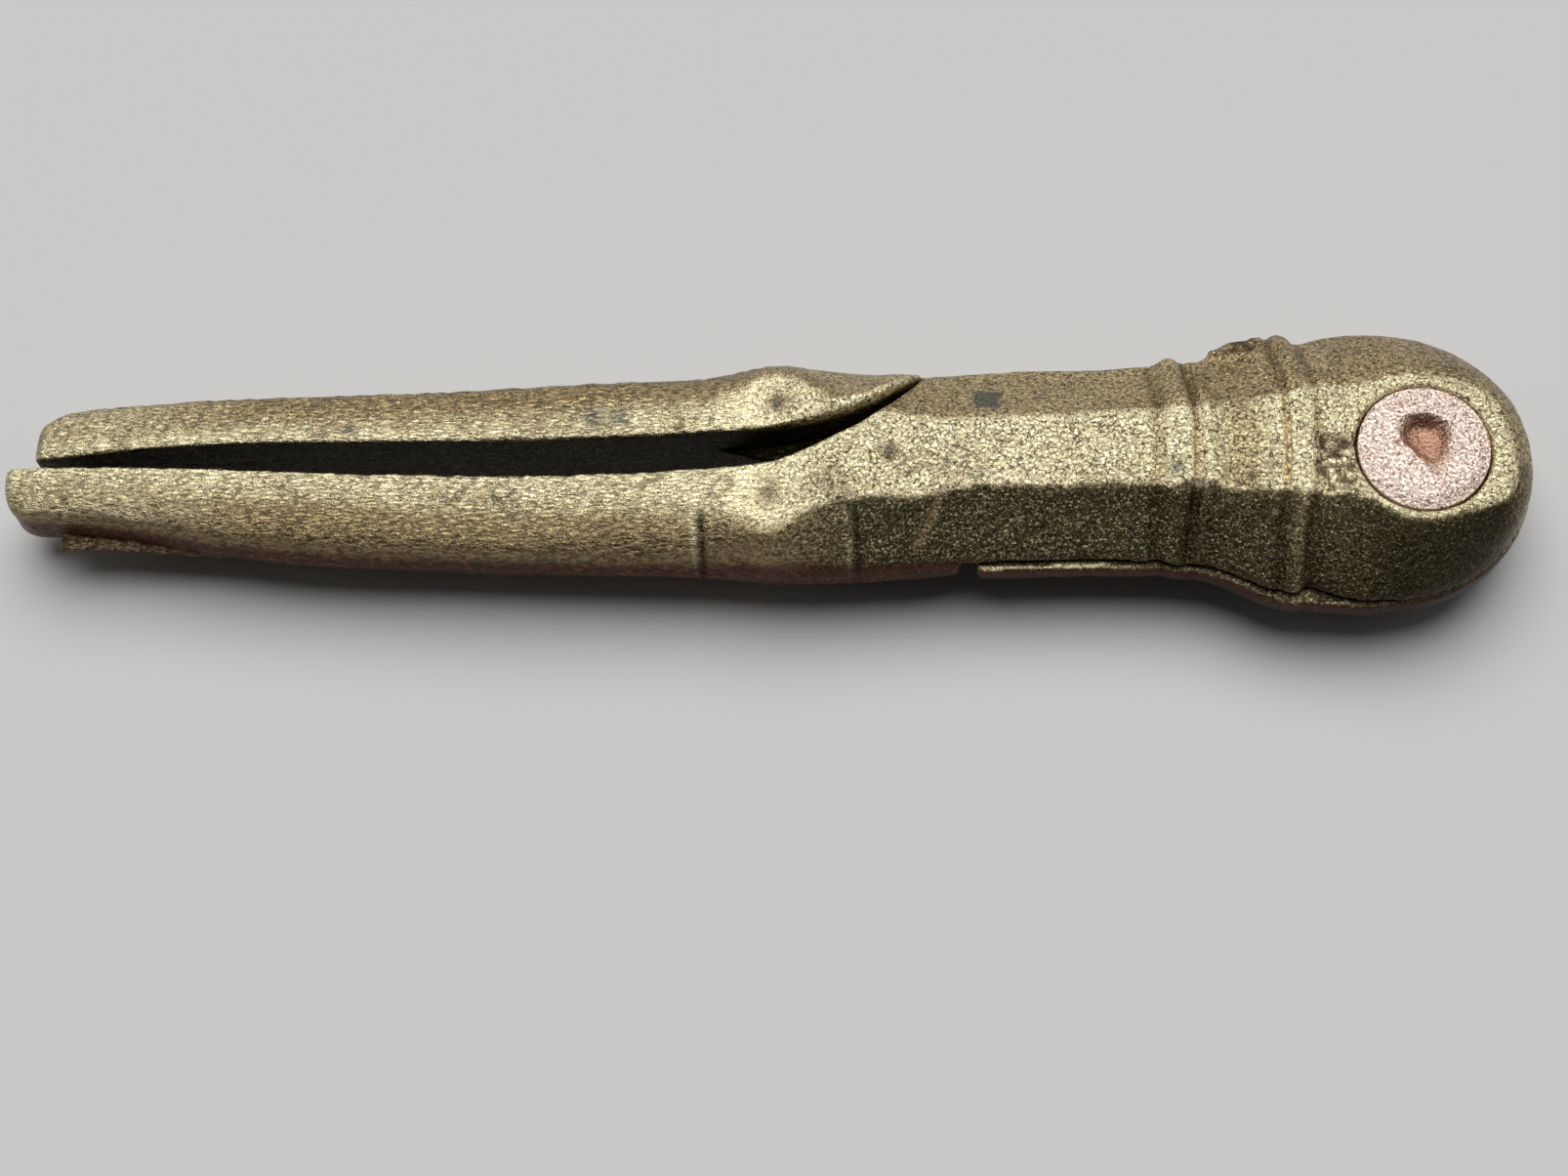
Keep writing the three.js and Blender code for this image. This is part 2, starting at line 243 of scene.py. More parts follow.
def curve(keys):
    """A smooth curve through [x, value] pairs, level beyond its ends."""
    xs, values = np.array(keys, float).T
    slopes = np.gradient(values, xs)

    def at(x):
        x = np.clip(x, xs[0], xs[-1])
        i = np.clip(np.searchsorted(xs, x, side="right") - 1, 0, len(xs) - 2)
        span = xs[i + 1] - xs[i]
        t = (x - xs[i]) / span
        rise = values[i + 1] - values[i]
        ease = t * t * (3 - 2 * t)
        lead = t * (1 - t) ** 2 * span * slopes[i] - t * t * (1 - t) * span * slopes[i + 1]
        return values[i] + rise * ease + lead

    return at


def smooth_max(a, b, softness):
    blend = np.maximum(softness - np.abs(a - b), 0)
    return np.maximum(a, b) + blend * blend / (4 * softness)


def smooth_min(a, b, softness):
    return -smooth_max(-a, -b, softness)


def ramp(x, low, high):
    """0 up to low, 1 from high, eased in between."""
    t = np.clip((x - low) / (high - low), 0, 1)
    return t * t * (3 - 2 * t)


def bump(distance, radius):
    """1 at the centre, fading to nothing a little past the radius."""
    return np.exp(-((distance / radius) ** 2))


def value_noise(points, pitch, seed):
    """Smooth random values from -1 to 1 that change over the pitch, which may differ by axis."""
    cells = 64
    grid = np.random.RandomState(seed).uniform(-1, 1, (cells, cells, cells))
    place = np.asarray(points) / np.array(pitch) + 1000.5
    cell = np.floor(place).astype(int)
    part = place - cell
    part = part * part * (3 - 2 * part)
    total = np.zeros(len(place))
    for corner in np.ndindex(2, 2, 2):
        index = (cell + corner) % cells
        weight = np.prod(np.where(corner, part, 1 - part), axis=1)
        total += weight * grid[index[:, 0], index[:, 1], index[:, 2]]
    return total


def waves(points, height, pitch, seed):
    """Value noise of the given height."""
    return height * value_noise(points, pitch, seed)


# ---- Field of a lever: below zero inside the metal ----
def plan_shape(lever, px, py):
    """For places in plan: distance from the middle line, half width, and reach of the flat top."""
    past = np.maximum(px - HEAD_CENTRE_X, 0) * HEAD_ROUND
    across = np.hypot(py, past)
    turn = np.degrees(np.arctan2(py, np.maximum(past, TINY)))
    on_head = px > HEAD_CENTRE_X
    near_width = curve(NEAR_WIDTH)(px)
    if lever == "lower":
        near_width = near_width + curve(LEDGE)(px) * ramp(px, *LEDGE_START)
    side_width = np.where(py > 0, curve(FAR_WIDTH)(px), near_width)
    width = np.where(on_head, HEAD_WIDTH + HEAD_LEAN * np.sin(np.radians(turn)), side_width)
    far_facet = curve(FAR_FACET_UPPER if lever == "upper" else FAR_FACET_LOWER)(px)
    side_facet = np.where(py > 0, far_facet, curve(NEAR_FACET)(px))
    facet = np.where(on_head, curve(HEAD_FACET)(turn), side_facet)
    return across, width, np.minimum(facet, width - FACET_INSET)


def bowed_x(x, y):
    """Place along the length, following the rings, which bow across the top."""
    aside = np.clip(y - RING_BOW_CENTRE_Y, -RING_BOW_REACH, RING_BOW_REACH)
    return x + RING_BOW * aside**2 * ramp(x, *RINGS_START)


def outer_field(lever, x, y, z):
    """The whole closed outline of the nutcracker, before it is shared between the levers."""
    px = x[:, None] + 0 * y[None, :]
    py = 0 * x[:, None] + y[None, :]
    across, width, facet = plan_shape(lever, px, py)
    thickness = curve(HALF_THICKNESS)(bowed_x(px, py))
    wall = np.minimum(curve(WALL_HALF_HEIGHT)(px), thickness - WALL_BELOW_TOP)

    plan = (across, width, facet, thickness, wall)
    across, width, facet, thickness, wall = (values[:, :, None] for values in plan)
    height = np.abs(z - MID_Z)[None, None, :]
    run = width - facet
    rise = thickness - wall
    length = np.hypot(run, rise)
    t = np.clip(((width - across) * run + (height - wall) * rise) / length**2, 0, 1)
    bulge = curve(BULGE)(x)[:, None, None]
    chamfer = ((across - width) * rise + (height - wall) * run) / length - bulge * np.sin(np.pi * t)
    top = height - thickness
    softness = curve(EDGE_SOFTNESS)(x)[:, None, None]
    field = smooth_max(top, chamfer, softness)
    field = smooth_max(field, across - width, WALL_SOFTNESS)
    tip = NEAR_TIP_X if lever == "upper" else FAR_TIP_X
    return smooth_max(field, (tip - x)[:, None, None], TIP_SOFTNESS)


def slant(line, x):
    """What a distance along Y is divided by to get the distance to a slanting line."""
    probe = 0.1
    slope = (line(x + probe) - line(x - probe)) / (2 * probe)
    return np.hypot(1, slope)


def beyond(edge, x, y):
    """Distance past a plan edge towards +Y, for an edge given as [x, y] pairs."""
    line = curve(edge)
    return ((y[None, :] - line(x)[:, None]) / slant(line, x)[:, None])[:, :, None]


def share_field(lever, x, y, z):
    """The lever's share: its handle at full thickness and its lap plate on one side of the seam."""
    side = 1 if lever == "upper" else -1
    above = (z - SEAM_Z)[None, None, :]
    handle = side * beyond(HANDLE_EDGE[lever], x, y)
    plate = side * beyond(PLATE_EDGE[lever], x, y)
    plate = smooth_max(plate, SEAM_GAP / 2 - side * above, PLATE_SOFTNESS)
    return np.minimum(handle, plate)


def bore_field(x, y, z):
    """Distance into the countersunk hole, above zero inside it."""
    radius = np.hypot(x[:, None], y[None, :])[:, :, None]
    height = np.abs(z - MID_Z)[None, None, :]
    cone = np.clip((height - (MID_Z - RIVET_LAND - RIVET_CONE)) / RIVET_CONE, 0, 1)
    hole = SHANK_RADIUS + HOLE_GAP + cone * (HOLE_RADIUS - SHANK_RADIUS - HOLE_GAP)
    return hole - radius


def flash_fin(x, y, z):
    """Casting flash: a ragged fin along the parting line at the near tip."""
    start, end = FIN_SPAN
    length = np.minimum(x - start, end - x)[:, None, None]
    ragged = sum(height * np.sin(rate * x + begin) for height, rate, begin in FIN_WAVES)
    edge = (-y[None, :] - (curve(FIN_REACH)(x) + ragged)[:, None])[:, :, None]
    pockets = POCKET_DEPTH * ramp(np.sin(POCKET_RATE * x), *POCKET_WALLS)[:, None, None]
    level = np.abs(z - FIN_Z)[None, None, :] - FIN_HALF_THICKNESS + pockets
    inner = (y - FIN_INNER_Y)[None, :, None]
    return np.maximum(np.maximum(level, edge), np.maximum(inner, -length))


def flash_balls(x, y, z):
    """Casting flash: the lump at the far side of the neck."""
    field = np.full((len(x), len(y), len(z)), FAR_AWAY)
    for ball_x, ball_y, ball_z, radius in LUMP_BALLS:
        in_plan = (x - ball_x)[:, None, None] ** 2 + (y - ball_y)[None, :, None] ** 2
        far = in_plan + (z - ball_z)[None, None, :] ** 2
        field = smooth_min(field, np.sqrt(far) - radius, BALL_SOFTNESS)
    return field


def lever_field(lever, x, y, z):
    """The whole lever: its share of the outline, with casting flash, shoulders, plate and bore."""
    outer = outer_field(lever, x, y, z)
    if lever == "upper":
        outer = smooth_min(outer, flash_fin(x, y, z), FIN_SOFTNESS)
        outer = smooth_min(outer, flash_balls(x, y, z), LUMP_SOFTNESS)
    rubbed = ramp(x, *RUBBED_START) * ramp(-x, *RUBBED_END) * (lever == "lower")
    softness = (CUT_SOFTNESS + RUBBED_SOFTNESS * rubbed)[:, None, None] + 0 * z
    softness = np.where(z > SEAM_Z + RUBBED_ABOVE_SEAM, softness, CUT_SOFTNESS)
    field = smooth_max(outer, share_field(lever, x, y, z), softness)
    return smooth_max(field, bore_field(x, y, z), BORE_SOFTNESS)


# ---- Meshing ----
RELAX_STRENGTH = 0.5
RELAX_ROUNDS = 3
# How far an edge stands out past its neighbours when it starts to be worn, and when it's bright.
WORN_SHARPNESS = (0.006, 0.02)


def surface_net(field):
    """The field's zero level as quads: a point in each crossed cell, a quad for each crossed edge."""
    cells = np.array(field.shape)
    strides = np.array([cells[1] * cells[2], cells[2], 1])
    owners, crossings, rings = [], [], []
    for axis in range(3):
        start = [slice(None)] * 3
        end = [slice(None)] * 3
        start[axis] = slice(0, -1)
        end[axis] = slice(1, None)
        a = field[tuple(start)]
        b = field[tuple(end)]
        edges = np.argwhere((a < 0) != (b < 0))
        first = a[tuple(edges.T)]
        second = b[tuple(edges.T)]
        point = edges.astype(float)
        point[:, axis] += first / (first - second)
        u = (axis + 1) % 3
        w = (axis + 2) % 3
        base = edges @ strides
        around = [base, base - strides[u], base - strides[u] - strides[w], base - strides[w]]
        ring = np.stack(around, 1)
        ring[first > 0] = ring[first > 0][:, ::-1]
        rings.append(ring)
        owners.extend(around)
        crossings.extend([point] * 4)
    owner = np.concatenate(owners)
    names, index = np.unique(owner, return_inverse=True)
    point = np.concatenate(crossings)
    count = np.bincount(index)
    points = np.stack([np.bincount(index, point[:, k]) / count for k in range(3)], 1)
    quads = np.searchsorted(names, np.concatenate(rings))
    return points, quads


def quad_edges(quads):
    """Each edge of the mesh once, as a pair of point numbers."""
    pairs = np.concatenate([quads[:, [k, (k + 1) % 4]] for k in range(4)])
    return np.unique(np.sort(pairs, 1), axis=0)


def neighbour_mean(values, edges):
    both = np.concatenate([edges, edges[:, ::-1]])
    total = len(values)
    count = np.bincount(both[:, 0], minlength=total)
    middle = [np.bincount(both[:, 0], column[both[:, 1]], total) / count for column in values.T]
    return np.stack(middle, 1)


def relaxed(points, edges, strength, rounds):
    """Moves each point towards the middle of its neighbours."""
    for _ in range(rounds):
        points = points + strength * (neighbour_mean(points, edges) - points)
    return points


def edge_wear(points, edges, normals):
    """1 along outward edges, where handling rubs the metal bright."""
    outward = np.sum((points - neighbour_mean(points, edges)) * normals, axis=1, keepdims=True)
    outward = neighbour_mean(outward, edges)[:, 0]
    return ramp(outward, *WORN_SHARPNESS)


def point_normals(points, quads):
    first, second, third, fourth = (points[quads[:, corner]] for corner in range(4))
    face = np.cross(third - first, fourth - second)
    normal = np.zeros_like(points)
    for k in range(3):
        for corner in range(4):
            normal[:, k] += np.bincount(quads[:, corner], face[:, k], len(points))
    return normal / np.maximum(np.linalg.norm(normal, axis=1, keepdims=True), TINY)


def add_object(name, data):
    """Puts a mesh, a lamp or a camera in the scene."""
    thing = bpy.data.objects.new(name, data)
    bpy.context.scene.collection.objects.link(thing)
    return thing


def mesh_object(name, points, faces, attributes):
    """A smooth mesh in the scene from points in millimetres, with its tones as point attributes."""
    mesh = bpy.data.meshes.new(name)
    mesh.from_pydata((points * MM).tolist(), [], faces)
    mesh.polygons.foreach_set("use_smooth", np.ones(len(mesh.polygons), bool))
    for key, values in attributes.items():
        layer = mesh.attributes.new(key, "FLOAT", "POINT")
        layer.data.foreach_set("value", values.astype(np.float32))
    mesh.validate()
    return add_object(name, mesh)


# ---- Working the surface ----
# Shallow dents in the upper side: [x, y, radius, depth].
DENTS = {
    "upper": [
        [-54.6, -3.3, 1.1, 0.2], [-44.3, 0.1, 0.7, 0.4], [-18.4, -2.8, 0.35, 0.35],
        [-49.5, -1.2, 1.6, 0.1], [-33.5, -1, 0.9, 0.06], [-28, 1.2, 1.3, 0.06],
        [-88, -2, 1.2, 0.08], [-71, -3.2, 1, 0.1], [-79.5, -2.4, 1, 0.08],
        [-101, -1.6, 1.4, 0.08],
    ],
    "lower": [
        [-53.9, 5.1, 1.1, 0.2], [-60.5, 4.4, 0.9, 0.1], [-63.5, 4.2, 0.8, 0.1],
        [-66.6, 3.9, 0.8, 0.1], [-80, 3.2, 1, 0.08], [-93, 3, 1.1, 0.08],
    ],
}
# Lines scored in the upper side or raised on it: a path of [x, y] points, half width and depth.
SCRATCHES = {
    "upper": [
        ([[-40.4, -3.7], [-40.9, -5.2], [-42.1, -7.1]], 0.36, 0.16),
        ([[-59, -3], [-58.3, -2.2]], 0.24, -0.13),
        ([[-57.6, -3.9], [-56.6, -3.7]], 0.2, 0.1),
        ([[-49.2, -1.6], [-48.8, -2.6], [-48.7, -3.8]], 0.24, -0.15),
        ([[-43.2, -1.5], [-42.4, -0.8], [-41.2, -0.6], [-40.2, -0.9]], 0.24, -0.15),
        ([[-37.6, -0.6], [-37.2, -1.8]], 0.24, -0.14),
        ([[-76, -1.6], [-77.3, -2.8], [-76.2, -4.2]], 0.25, -0.14),
        ([[-80, -1.4], [-81.4, -2.8]], 0.24, -0.12),
    ],
    "lower": [([[-52.9, 7], [-52.5, 5.4], [-52.2, 3.7]], 0.25, -0.1)],
}
# The rings as they carry on down the slopes: [x, height].
RING_STEPS = [
    [-22.6, 0], [-21.7, -0.2], [-21, 0.06], [-19, 0.06], [-18.55, -0.26], [-18.15, 0.05],
    [-17, 0], [-13.2, 0], [-12.4, 0.14], [-11.5, 0.12], [-11.1, -0.12], [-10.7, 0.16],
    [-9.3, 0.2], [-8.7, -0.12], [-7.6, -0.04], [-6, 0],
]
# Creases across the near side, deepest at once and recovering towards the head: [x, depth, length].
CREASES = [[-60.5, 0.34, 0.9], [-47.5, 0.24, 0.5]]
CREASE_FRONT = 0.25
CREASE_LEAN = 0.06
CREASE_PIVOT_Y = -6
# The porous patch by the rivet: its reach in x and y with the fade of each edge, and its pores.
POROUS_X = (-8.8, -5.8, 0.5)
POROUS_Y = (-3.6, 1.4, 0.8)
PORE_NOISE = ((0.9, 0.75, 0.9), 15)
PORE_HALF_WIDTH = 0.3
PORE_WALL = 0.15
PORE_DEPTH = 0.22
# The outer faces of the levers lie beyond this height from the middle.
OUTER_FACE = 4
# The flash lump in plan, and its grain: height, pitch and seed.
LUMP_X = (-16.9, -13.0, 0.3)
LUMP_EDGE_Y = (10.5, 10.9)
LUMP_GRAIN = (0.16, (0.7, 0.5, 0.5), 16)
# Height, pitch and seed of the swells, the ripples and the grain over all of the metal.
SWELLS = (0.05, (5.0, 3.0, 3.0), 11)
RIPPLES = (0.04, (1.6, 1.2, 1.2), 12)
GRAIN = (0.02, 0.6, 13)
HANDLE_GRAIN_LOSS = 0.5
# The slanting strokes across the handles, and the lumps along the far handle's inner edge.
STROKE_ANGLE = {"upper": 62, "lower": 70}
STROKE_NOISE = ((2.2, 0.55, 1.2), 14)
STROKE_HEIGHT = 0.1
EDGE_LUMP_NOISE = ((1.1, 1.4, 1.4), 17)
EDGE_LUMP_BAND = (0.1, 1.9, 0.5)
EDGE_LUMP_SHARE = 0.9
# The line where the mould's halves met, along the near side of the knee.
PARTING_Z = -0.1
PARTING_HALF_WIDTH = 0.16
PARTING_DEPTH = 0.14
PARTING_SPAN = (-58, -39, 2)
# The metal is raised in a ring around the rivet.
RIM_PAST_HOLE = 0.45
RIM_HALF_WIDTH = 0.28
RIM_HEIGHT = 0.07
# The rings on the slopes. They fade out beside the seam, so that the levers stay clear.
RING_GAIN = 1.3
RING_TILT = 0.93
RING_FADE = 0.15
SEAM_FADE = (0.1, 0.6)
# Distances from the rivet over which the neck becomes the handle.
HANDLE_FORM = (50, 60)
# Parts of a normal between which a face starts to count as looking up, or to the near side.
LOOKING_UP = (0.1, 0.5)
LOOKING_NEAR = (0.2, 0.5)
NEARLY_LEVEL = 0.8
NOT_DOWN = -0.3
WALL_TILT = 0.35
WALL_FADE = 0.3
WALL_CALM = 0.6
# The plates' mating faces lie this near the seam.
MATING_REACH = 0.25


def path_distance(points, path):
    """Distance in plan from each point to a broken line."""
    nearest = np.full(len(points), FAR_AWAY)
    for start, end in zip(np.array(path[:-1]), np.array(path[1:])):
        run = end - start
        from_start = points[:, :2] - start
        t = np.clip(from_start @ run / (run @ run), 0, 1)
        nearest = np.minimum(nearest, np.linalg.norm(from_start - t[:, None] * run, axis=1))
    return nearest


def within(value, low, high, fade):
    """1 from low to high, fading to 0 on either side."""
    return ramp(value, low - fade, low + fade) * ramp(-value, -high - fade, -high + fade)


def near_place(points, x, y, radius):
    """1 at a place in plan, fading to nothing a little past the radius."""
    return bump(np.hypot(points[:, 0] - x, points[:, 1] - y), radius)


def porous_patch(lever, points):
    """1 in the pores of the patch by the rivet, which only the upper lever has."""
    if lever == "lower":
        return np.zeros(len(points))
    patch = within(points[:, 0], *POROUS_X) * within(points[:, 1], *POROUS_Y)
    veins = PORE_HALF_WIDTH - np.abs(value_noise(points, *PORE_NOISE))
    return patch * ramp(veins, 0.0, PORE_WALL) * (points[:, 2] > MID_Z + OUTER_FACE)


def crease_past(crease_x, x, y):
    """Distance beyond a crease towards the head; the crease leans a little."""
    return x - crease_x + CREASE_LEAN * (y - CREASE_PIVOT_Y)


def flash_lump(points):
    """1 over the lump of casting flash at the far side of the neck."""
    x, y, z = points.T
    return within(x, *LUMP_X) * ramp(y, *LUMP_EDGE_Y) * (z > SEAM_Z + 0.1)


def slanted(points, pitch, seed, angle):
    """Noise drawn out along a slanting direction in plan, like file or brush marks."""
    turn = np.radians(angle)
    along = points[:, 0] * np.cos(turn) + points[:, 1] * np.sin(turn)
    across = points[:, 1] * np.cos(turn) - points[:, 0] * np.sin(turn)
    return value_noise(np.stack([along, across, points[:, 2]], 1), pitch, seed)


def handle_strokes(lever, points):
    """The slanting strokes that cross each handle, and the lumps along the far one's inner edge."""
    strokes = slanted(points, *STROKE_NOISE, STROKE_ANGLE[lever])
    if lever == "lower":
        from_edge = points[:, 1] - curve(HANDLE_EDGE[lever])(points[:, 0])
        lumps = value_noise(points, *EDGE_LUMP_NOISE) * within(from_edge, *EDGE_LUMP_BAND)
        strokes = strokes + EDGE_LUMP_SHARE * lumps
    return strokes


def lever_relief(lever, points, normals):
    """How far each point moves along its normal: waves, dents, scratches, creases and grain."""
    x, y, z = points.T
    level = np.abs(normals[:, 2])
    up = ramp(normals[:, 2], *LOOKING_UP)
    near = ramp(-normals[:, 1], *LOOKING_NEAR) * (normals[:, 2] > NOT_DOWN)
    handle = ramp(-x, *HANDLE_FORM)
    mating = (np.abs(z - SEAM_Z) < MATING_REACH) & (level > NEARLY_LEVEL)
    inner_wall = handle * ramp(WALL_TILT - level, 0, WALL_FADE)
    relief = waves(points, *SWELLS)
    relief += waves(points, *RIPPLES)
    relief += waves(points, *GRAIN) * (1 - HANDLE_GRAIN_LOSS * handle)
    relief += STROKE_HEIGHT * handle_strokes(lever, points) * handle * up
    ring_slope = ramp(RING_TILT - normals[:, 2], 0, RING_FADE)
    off_seam = ramp(np.abs(z - SEAM_Z), *SEAM_FADE) * (z > MID_Z + 1)
    relief += RING_GAIN * curve(RING_STEPS)(bowed_x(x, y)) * ring_slope * off_seam
    for dent_x, dent_y, radius, depth in DENTS[lever]:
        relief -= depth * up * near_place(points, dent_x, dent_y, radius)
    for path, half_width, depth in SCRATCHES[lever]:
        relief -= depth * up * bump(path_distance(points, path), half_width)
    if lever == "upper":
        for crease_x, depth, length in CREASES:
            past = crease_past(crease_x, x, y)
            notch = np.where(past > 0, np.exp(-past / length), bump(past, CREASE_FRONT))
            relief -= depth * notch * near
        parting = bump(z - MID_Z - PARTING_Z, PARTING_HALF_WIDTH)
        relief -= PARTING_DEPTH * parting * near * within(x, *PARTING_SPAN)
    relief -= PORE_DEPTH * porous_patch(lever, points)
    rim = bump(np.hypot(x, y) - HOLE_RADIUS - RIM_PAST_HOLE, RIM_HALF_WIDTH)
    relief += RIM_HEIGHT * (rim * (np.abs(z - MID_Z) > OUTER_FACE))
    relief *= 1 - WALL_CALM * inner_wall
    if lever == "upper":
        relief += waves(points, *LUMP_GRAIN) * flash_lump(points)
    return np.where(mating, 0, relief)


# Spots that the years have darkened: [x, y, radius].
STAINS = {
    "upper": [[-18.4, -2.8, 0.4], [-20.5, -1.5, 0.6], [-47.6, -4.6, 0.4], [-44.5, 0.5, 0.3]],
    "lower": [[-69.6, 4.3, 0.9], [-67.4, 4.1, 0.9], [-90.5, 3.4, 0.5], [-53.9, 5.1, 0.4]],
}
# Reddened spots: [x, y, radius, strength].
REDDENED = {
    "upper": [
        [-54.6, -3.3, 1.2, 0.7], [-44.3, 0.1, 0.85, 0.75], [-50, -2.6, 1.6, 0.3],
        [-47.9, -6.4, 0.5, 0.5], [-12.4, -1.6, 0.8, 0.45], [-14.2, -2.4, 0.6, 0.5],
        [-16.2, -1.8, 0.7, 0.4], [-19.8, -3, 0.6, 0.5], [-12.2, 0.4, 0.5, 0.4],
        [-76.5, -3, 0.8, 0.4],
    ],
    "lower": [[-53.9, 5.1, 1.1, 0.85], [-93, 3.2, 0.9, 0.4]],
}
# A squarish stain: its reach in x and y, with the fade of its edges.
SQUARE_STAIN = ((-37.2, -35.0, 0.25), (4.5, 6.7, 0.25))
# Grooves of the rings, and how far their tarnish reaches to either side.
GROOVES = [-21.8, -18.55, -11.1, -8.5]
GROOVE_REACH = 0.33
# How bright the rings and the grooves between them have worn; the dull band from -16.3 to -13.6 is
# painted shade of the slope rising to the rings.
RING_WEAR_AND_SHADE = [
    [-22.6, 1], [-21.9, 0.3], [-21.3, 1], [-19.1, 1], [-18.6, 0.1], [-18.2, 1],
    [-17.2, 0.9], [-16.3, 0.5], [-13.6, 0.42], [-12.8, 0.9], [-11.5, 1], [-11.15, 0.1],
    [-10.8, 1], [-8.9, 1], [-8.4, 0.55], [-7.7, 0.9], [-5.8, 1],
]
# How strongly each place takes on each tone.
# Purple on the low wall and under the ledge is painted shade and painted reflection; elsewhere it is
# patina.
PURPLED = {
    "low wall": 0.95, "under ledge": 0.95, "fin": 0.75, "lump": 0.8, "groove": 0.5, "scratch": 0.3,
    "pore": 0.85,
}
# Black in the lump and the pores is grime; on the inner walls, in the crotch, on the plates, in the
# creases and beside scratches it is painted shade.
GRIMED_AND_SHADED = {
    "inner wall": 0.55, "crotch": 1.0, "plate": 0.7, "lump": 0.4, "crease": 0.8, "scratch": 0.45,
    "pore": 0.3,
}
STAINED = {"spot": 0.8, "square": 0.85}
# Shade of the ledge, and how much of the shade a crease's light side and a scratch take away.
SHADED = {"ledge": 0.75, "crease": 0.7, "scratch": 0.8}
# Paleness: wear on the edges, the tips and the end, painted highlight on the light side of the creases,
# and the ledge's top.
WORN_AND_LIT = {"edge": 0.85, "tip": 0.4, "end": 0.6, "crease": 0.6, "ledge": 0.6}
LEAST_LEDGE_WEAR = 0.1
HANDLE_DULLING = {"upper": 0.24, "lower": 0.36}
STROKE_CONTRAST = 0.3
# Distances from the rivet at which a tone starts and is full.
HANDLE_TONE = (50, 62)
WEDGE_TONE = (39, 44)
LEDGE_WEAR = (24, 29)
TIP_WEAR = (96, 114)
END_WEAR = (119.1, 119.8)
# Places along X at which a tone starts and is full, coming from the tips.
NEAR_SHADE = (-57, -46)
SHOULDER_RIM_START = (-57, -51)
LEDGE_SHADE = (-27, -22)
HEAD_START = (-24, -18)
HEAD_SHADE_DEEPENING = (-9, -1)
HEAD_SHADE_DEEPENING_END = (-9.5, -6)
HEAD_END = (5.5, 9.5)
# How far the top's tone stops short of the slope on each handle, and where the slope's tone starts
# and is full beside that line: on the neck, then how much more on the handles.
FACET_SHIFT = {"upper": 0.3, "lower": 0.7}
SLOPE_FROM = (-0.15, -1.1)
SLOPE_TO = (0.45, 1.3)
SLOPE_NOISE = (0.25, 1.2, 31)
LUMP_NOISE = (0.5, 32)
HEAD_FAR_NOISE = (0.2, 2.2, 33)
HEAD_FAR_LEAST = 0.1
FIN_TONE_END = -101
FIN_TONE_REACH = 0.7
LEDGE_SPAN = (-37, -9)
CROTCH_SPAN = (-60, -40)
KNEE_SPAN = (-58, -38, 2)
RIM_TONE_WIDTH = 0.4
SHOULDER_RIM = (-0.3, 0.7, 0.2)
UPPER_PART = 3
RIM_TOP = (3.6, 4.6)
LAST_RING_X = -9.6
LAST_RING_WIDTH = 0.5
LAST_RING_LIGHT = 0.4
HEAD_END_LIGHT = 0.45
RUBBED_LIGHT = 0.5
LOW_WALL_TOP = 2.3
LOW_WALL_FADE = 1.6
KNEE_RISE = 0.9
OTHER_WALLS = 0.3
# Parts of a normal between which a face starts to count as looking aside, level or not down.
LOOKING_ASIDE = (0.3, 0.7)
LOOKING_STRAIGHT_UP = (0.5, 0.8)
NEARLY_FLAT = (0.6, 0.85)
NOT_UNDERSIDE = (-0.75, -0.45)
GAP_WALL_TILT = 0.4
# Beside a crease: distance past it and half width, for its painted shadow, its painted highlight and
# the side where its painted shade is lifted.
CREASE_SHADOW = (0.25, 0.3)
CREASE_HIGHLIGHT = (-0.35, 0.3)
CREASE_LIGHT = (-0.45, 0.4)
LOW_SIDE = (4, 5)
NEAR_SIDE = (0, 2)
FAR_SIDE = (2, 6)
SLOPE_SHADE_DEEPENING = (0.3, 0.45)
LEDGE_WALL_DEPTH = 2
LEDGE_WALL_TURN = (0.2, 0.6)


def rubbed_and_lit_rims(lever, points):
    """1 on the ring round the rivet and on the rim of the far handle's shoulder, rubbed pale and
    painted with a highlight.
    """
    x, y, z = points.T
    rim = bump(np.hypot(x, y) - HOLE_RADIUS - RIM_TONE_WIDTH, RIM_TONE_WIDTH)
    if lever == "lower":
        edge = curve(HANDLE_EDGE[lever])
        on_rim = within((y - edge(x)) / slant(edge, x), *SHOULDER_RIM) * (z > MID_Z + UPPER_PART)
        rim = np.maximum(rim, on_rim * ramp(x, *SHOULDER_RIM_START))
    return rim


def low_wall(points, normals):
    """1 on the lower part of the near walls, and less on the other walls, where painted shade and a
    painted reflection of a dark red ground are laid in purple.
    """
    x, y, z = points.T
    top = MID_Z + LOW_WALL_TOP + KNEE_RISE * within(x, *KNEE_SPAN) * (y < 0)
    low = ramp(top - z, 0, LOW_WALL_FADE) * ramp(NEARLY_LEVEL - normals[:, 2], 0, WALL_FADE)
    near = ramp(-normals[:, 1], *LOOKING_ASIDE) * ramp(normals[:, 2], *NOT_UNDERSIDE)
    return low * (OTHER_WALLS + (1 - OTHER_WALLS) * near)


def inner_side(lever, points, normals, handle, rim):
    """1 on the walls that face the gap between the handles, up to their rubbed rims, where painted
    shade is laid.
    """
    x, y, z = points.T
    wedge = ramp(-x, *WEDGE_TONE) * (y > 0) if lever == "lower" else 0
    facing = normals[:, 1] if lever == "upper" else -normals[:, 1]
    inner = np.maximum(handle, wedge) * ramp(GAP_WALL_TILT - np.abs(normals[:, 2]), 0, WALL_FADE)
    inner *= ramp(facing, *LOOKING_ASIDE)
    return inner * (1 - rim * ramp(z - MID_Z, *RIM_TOP))


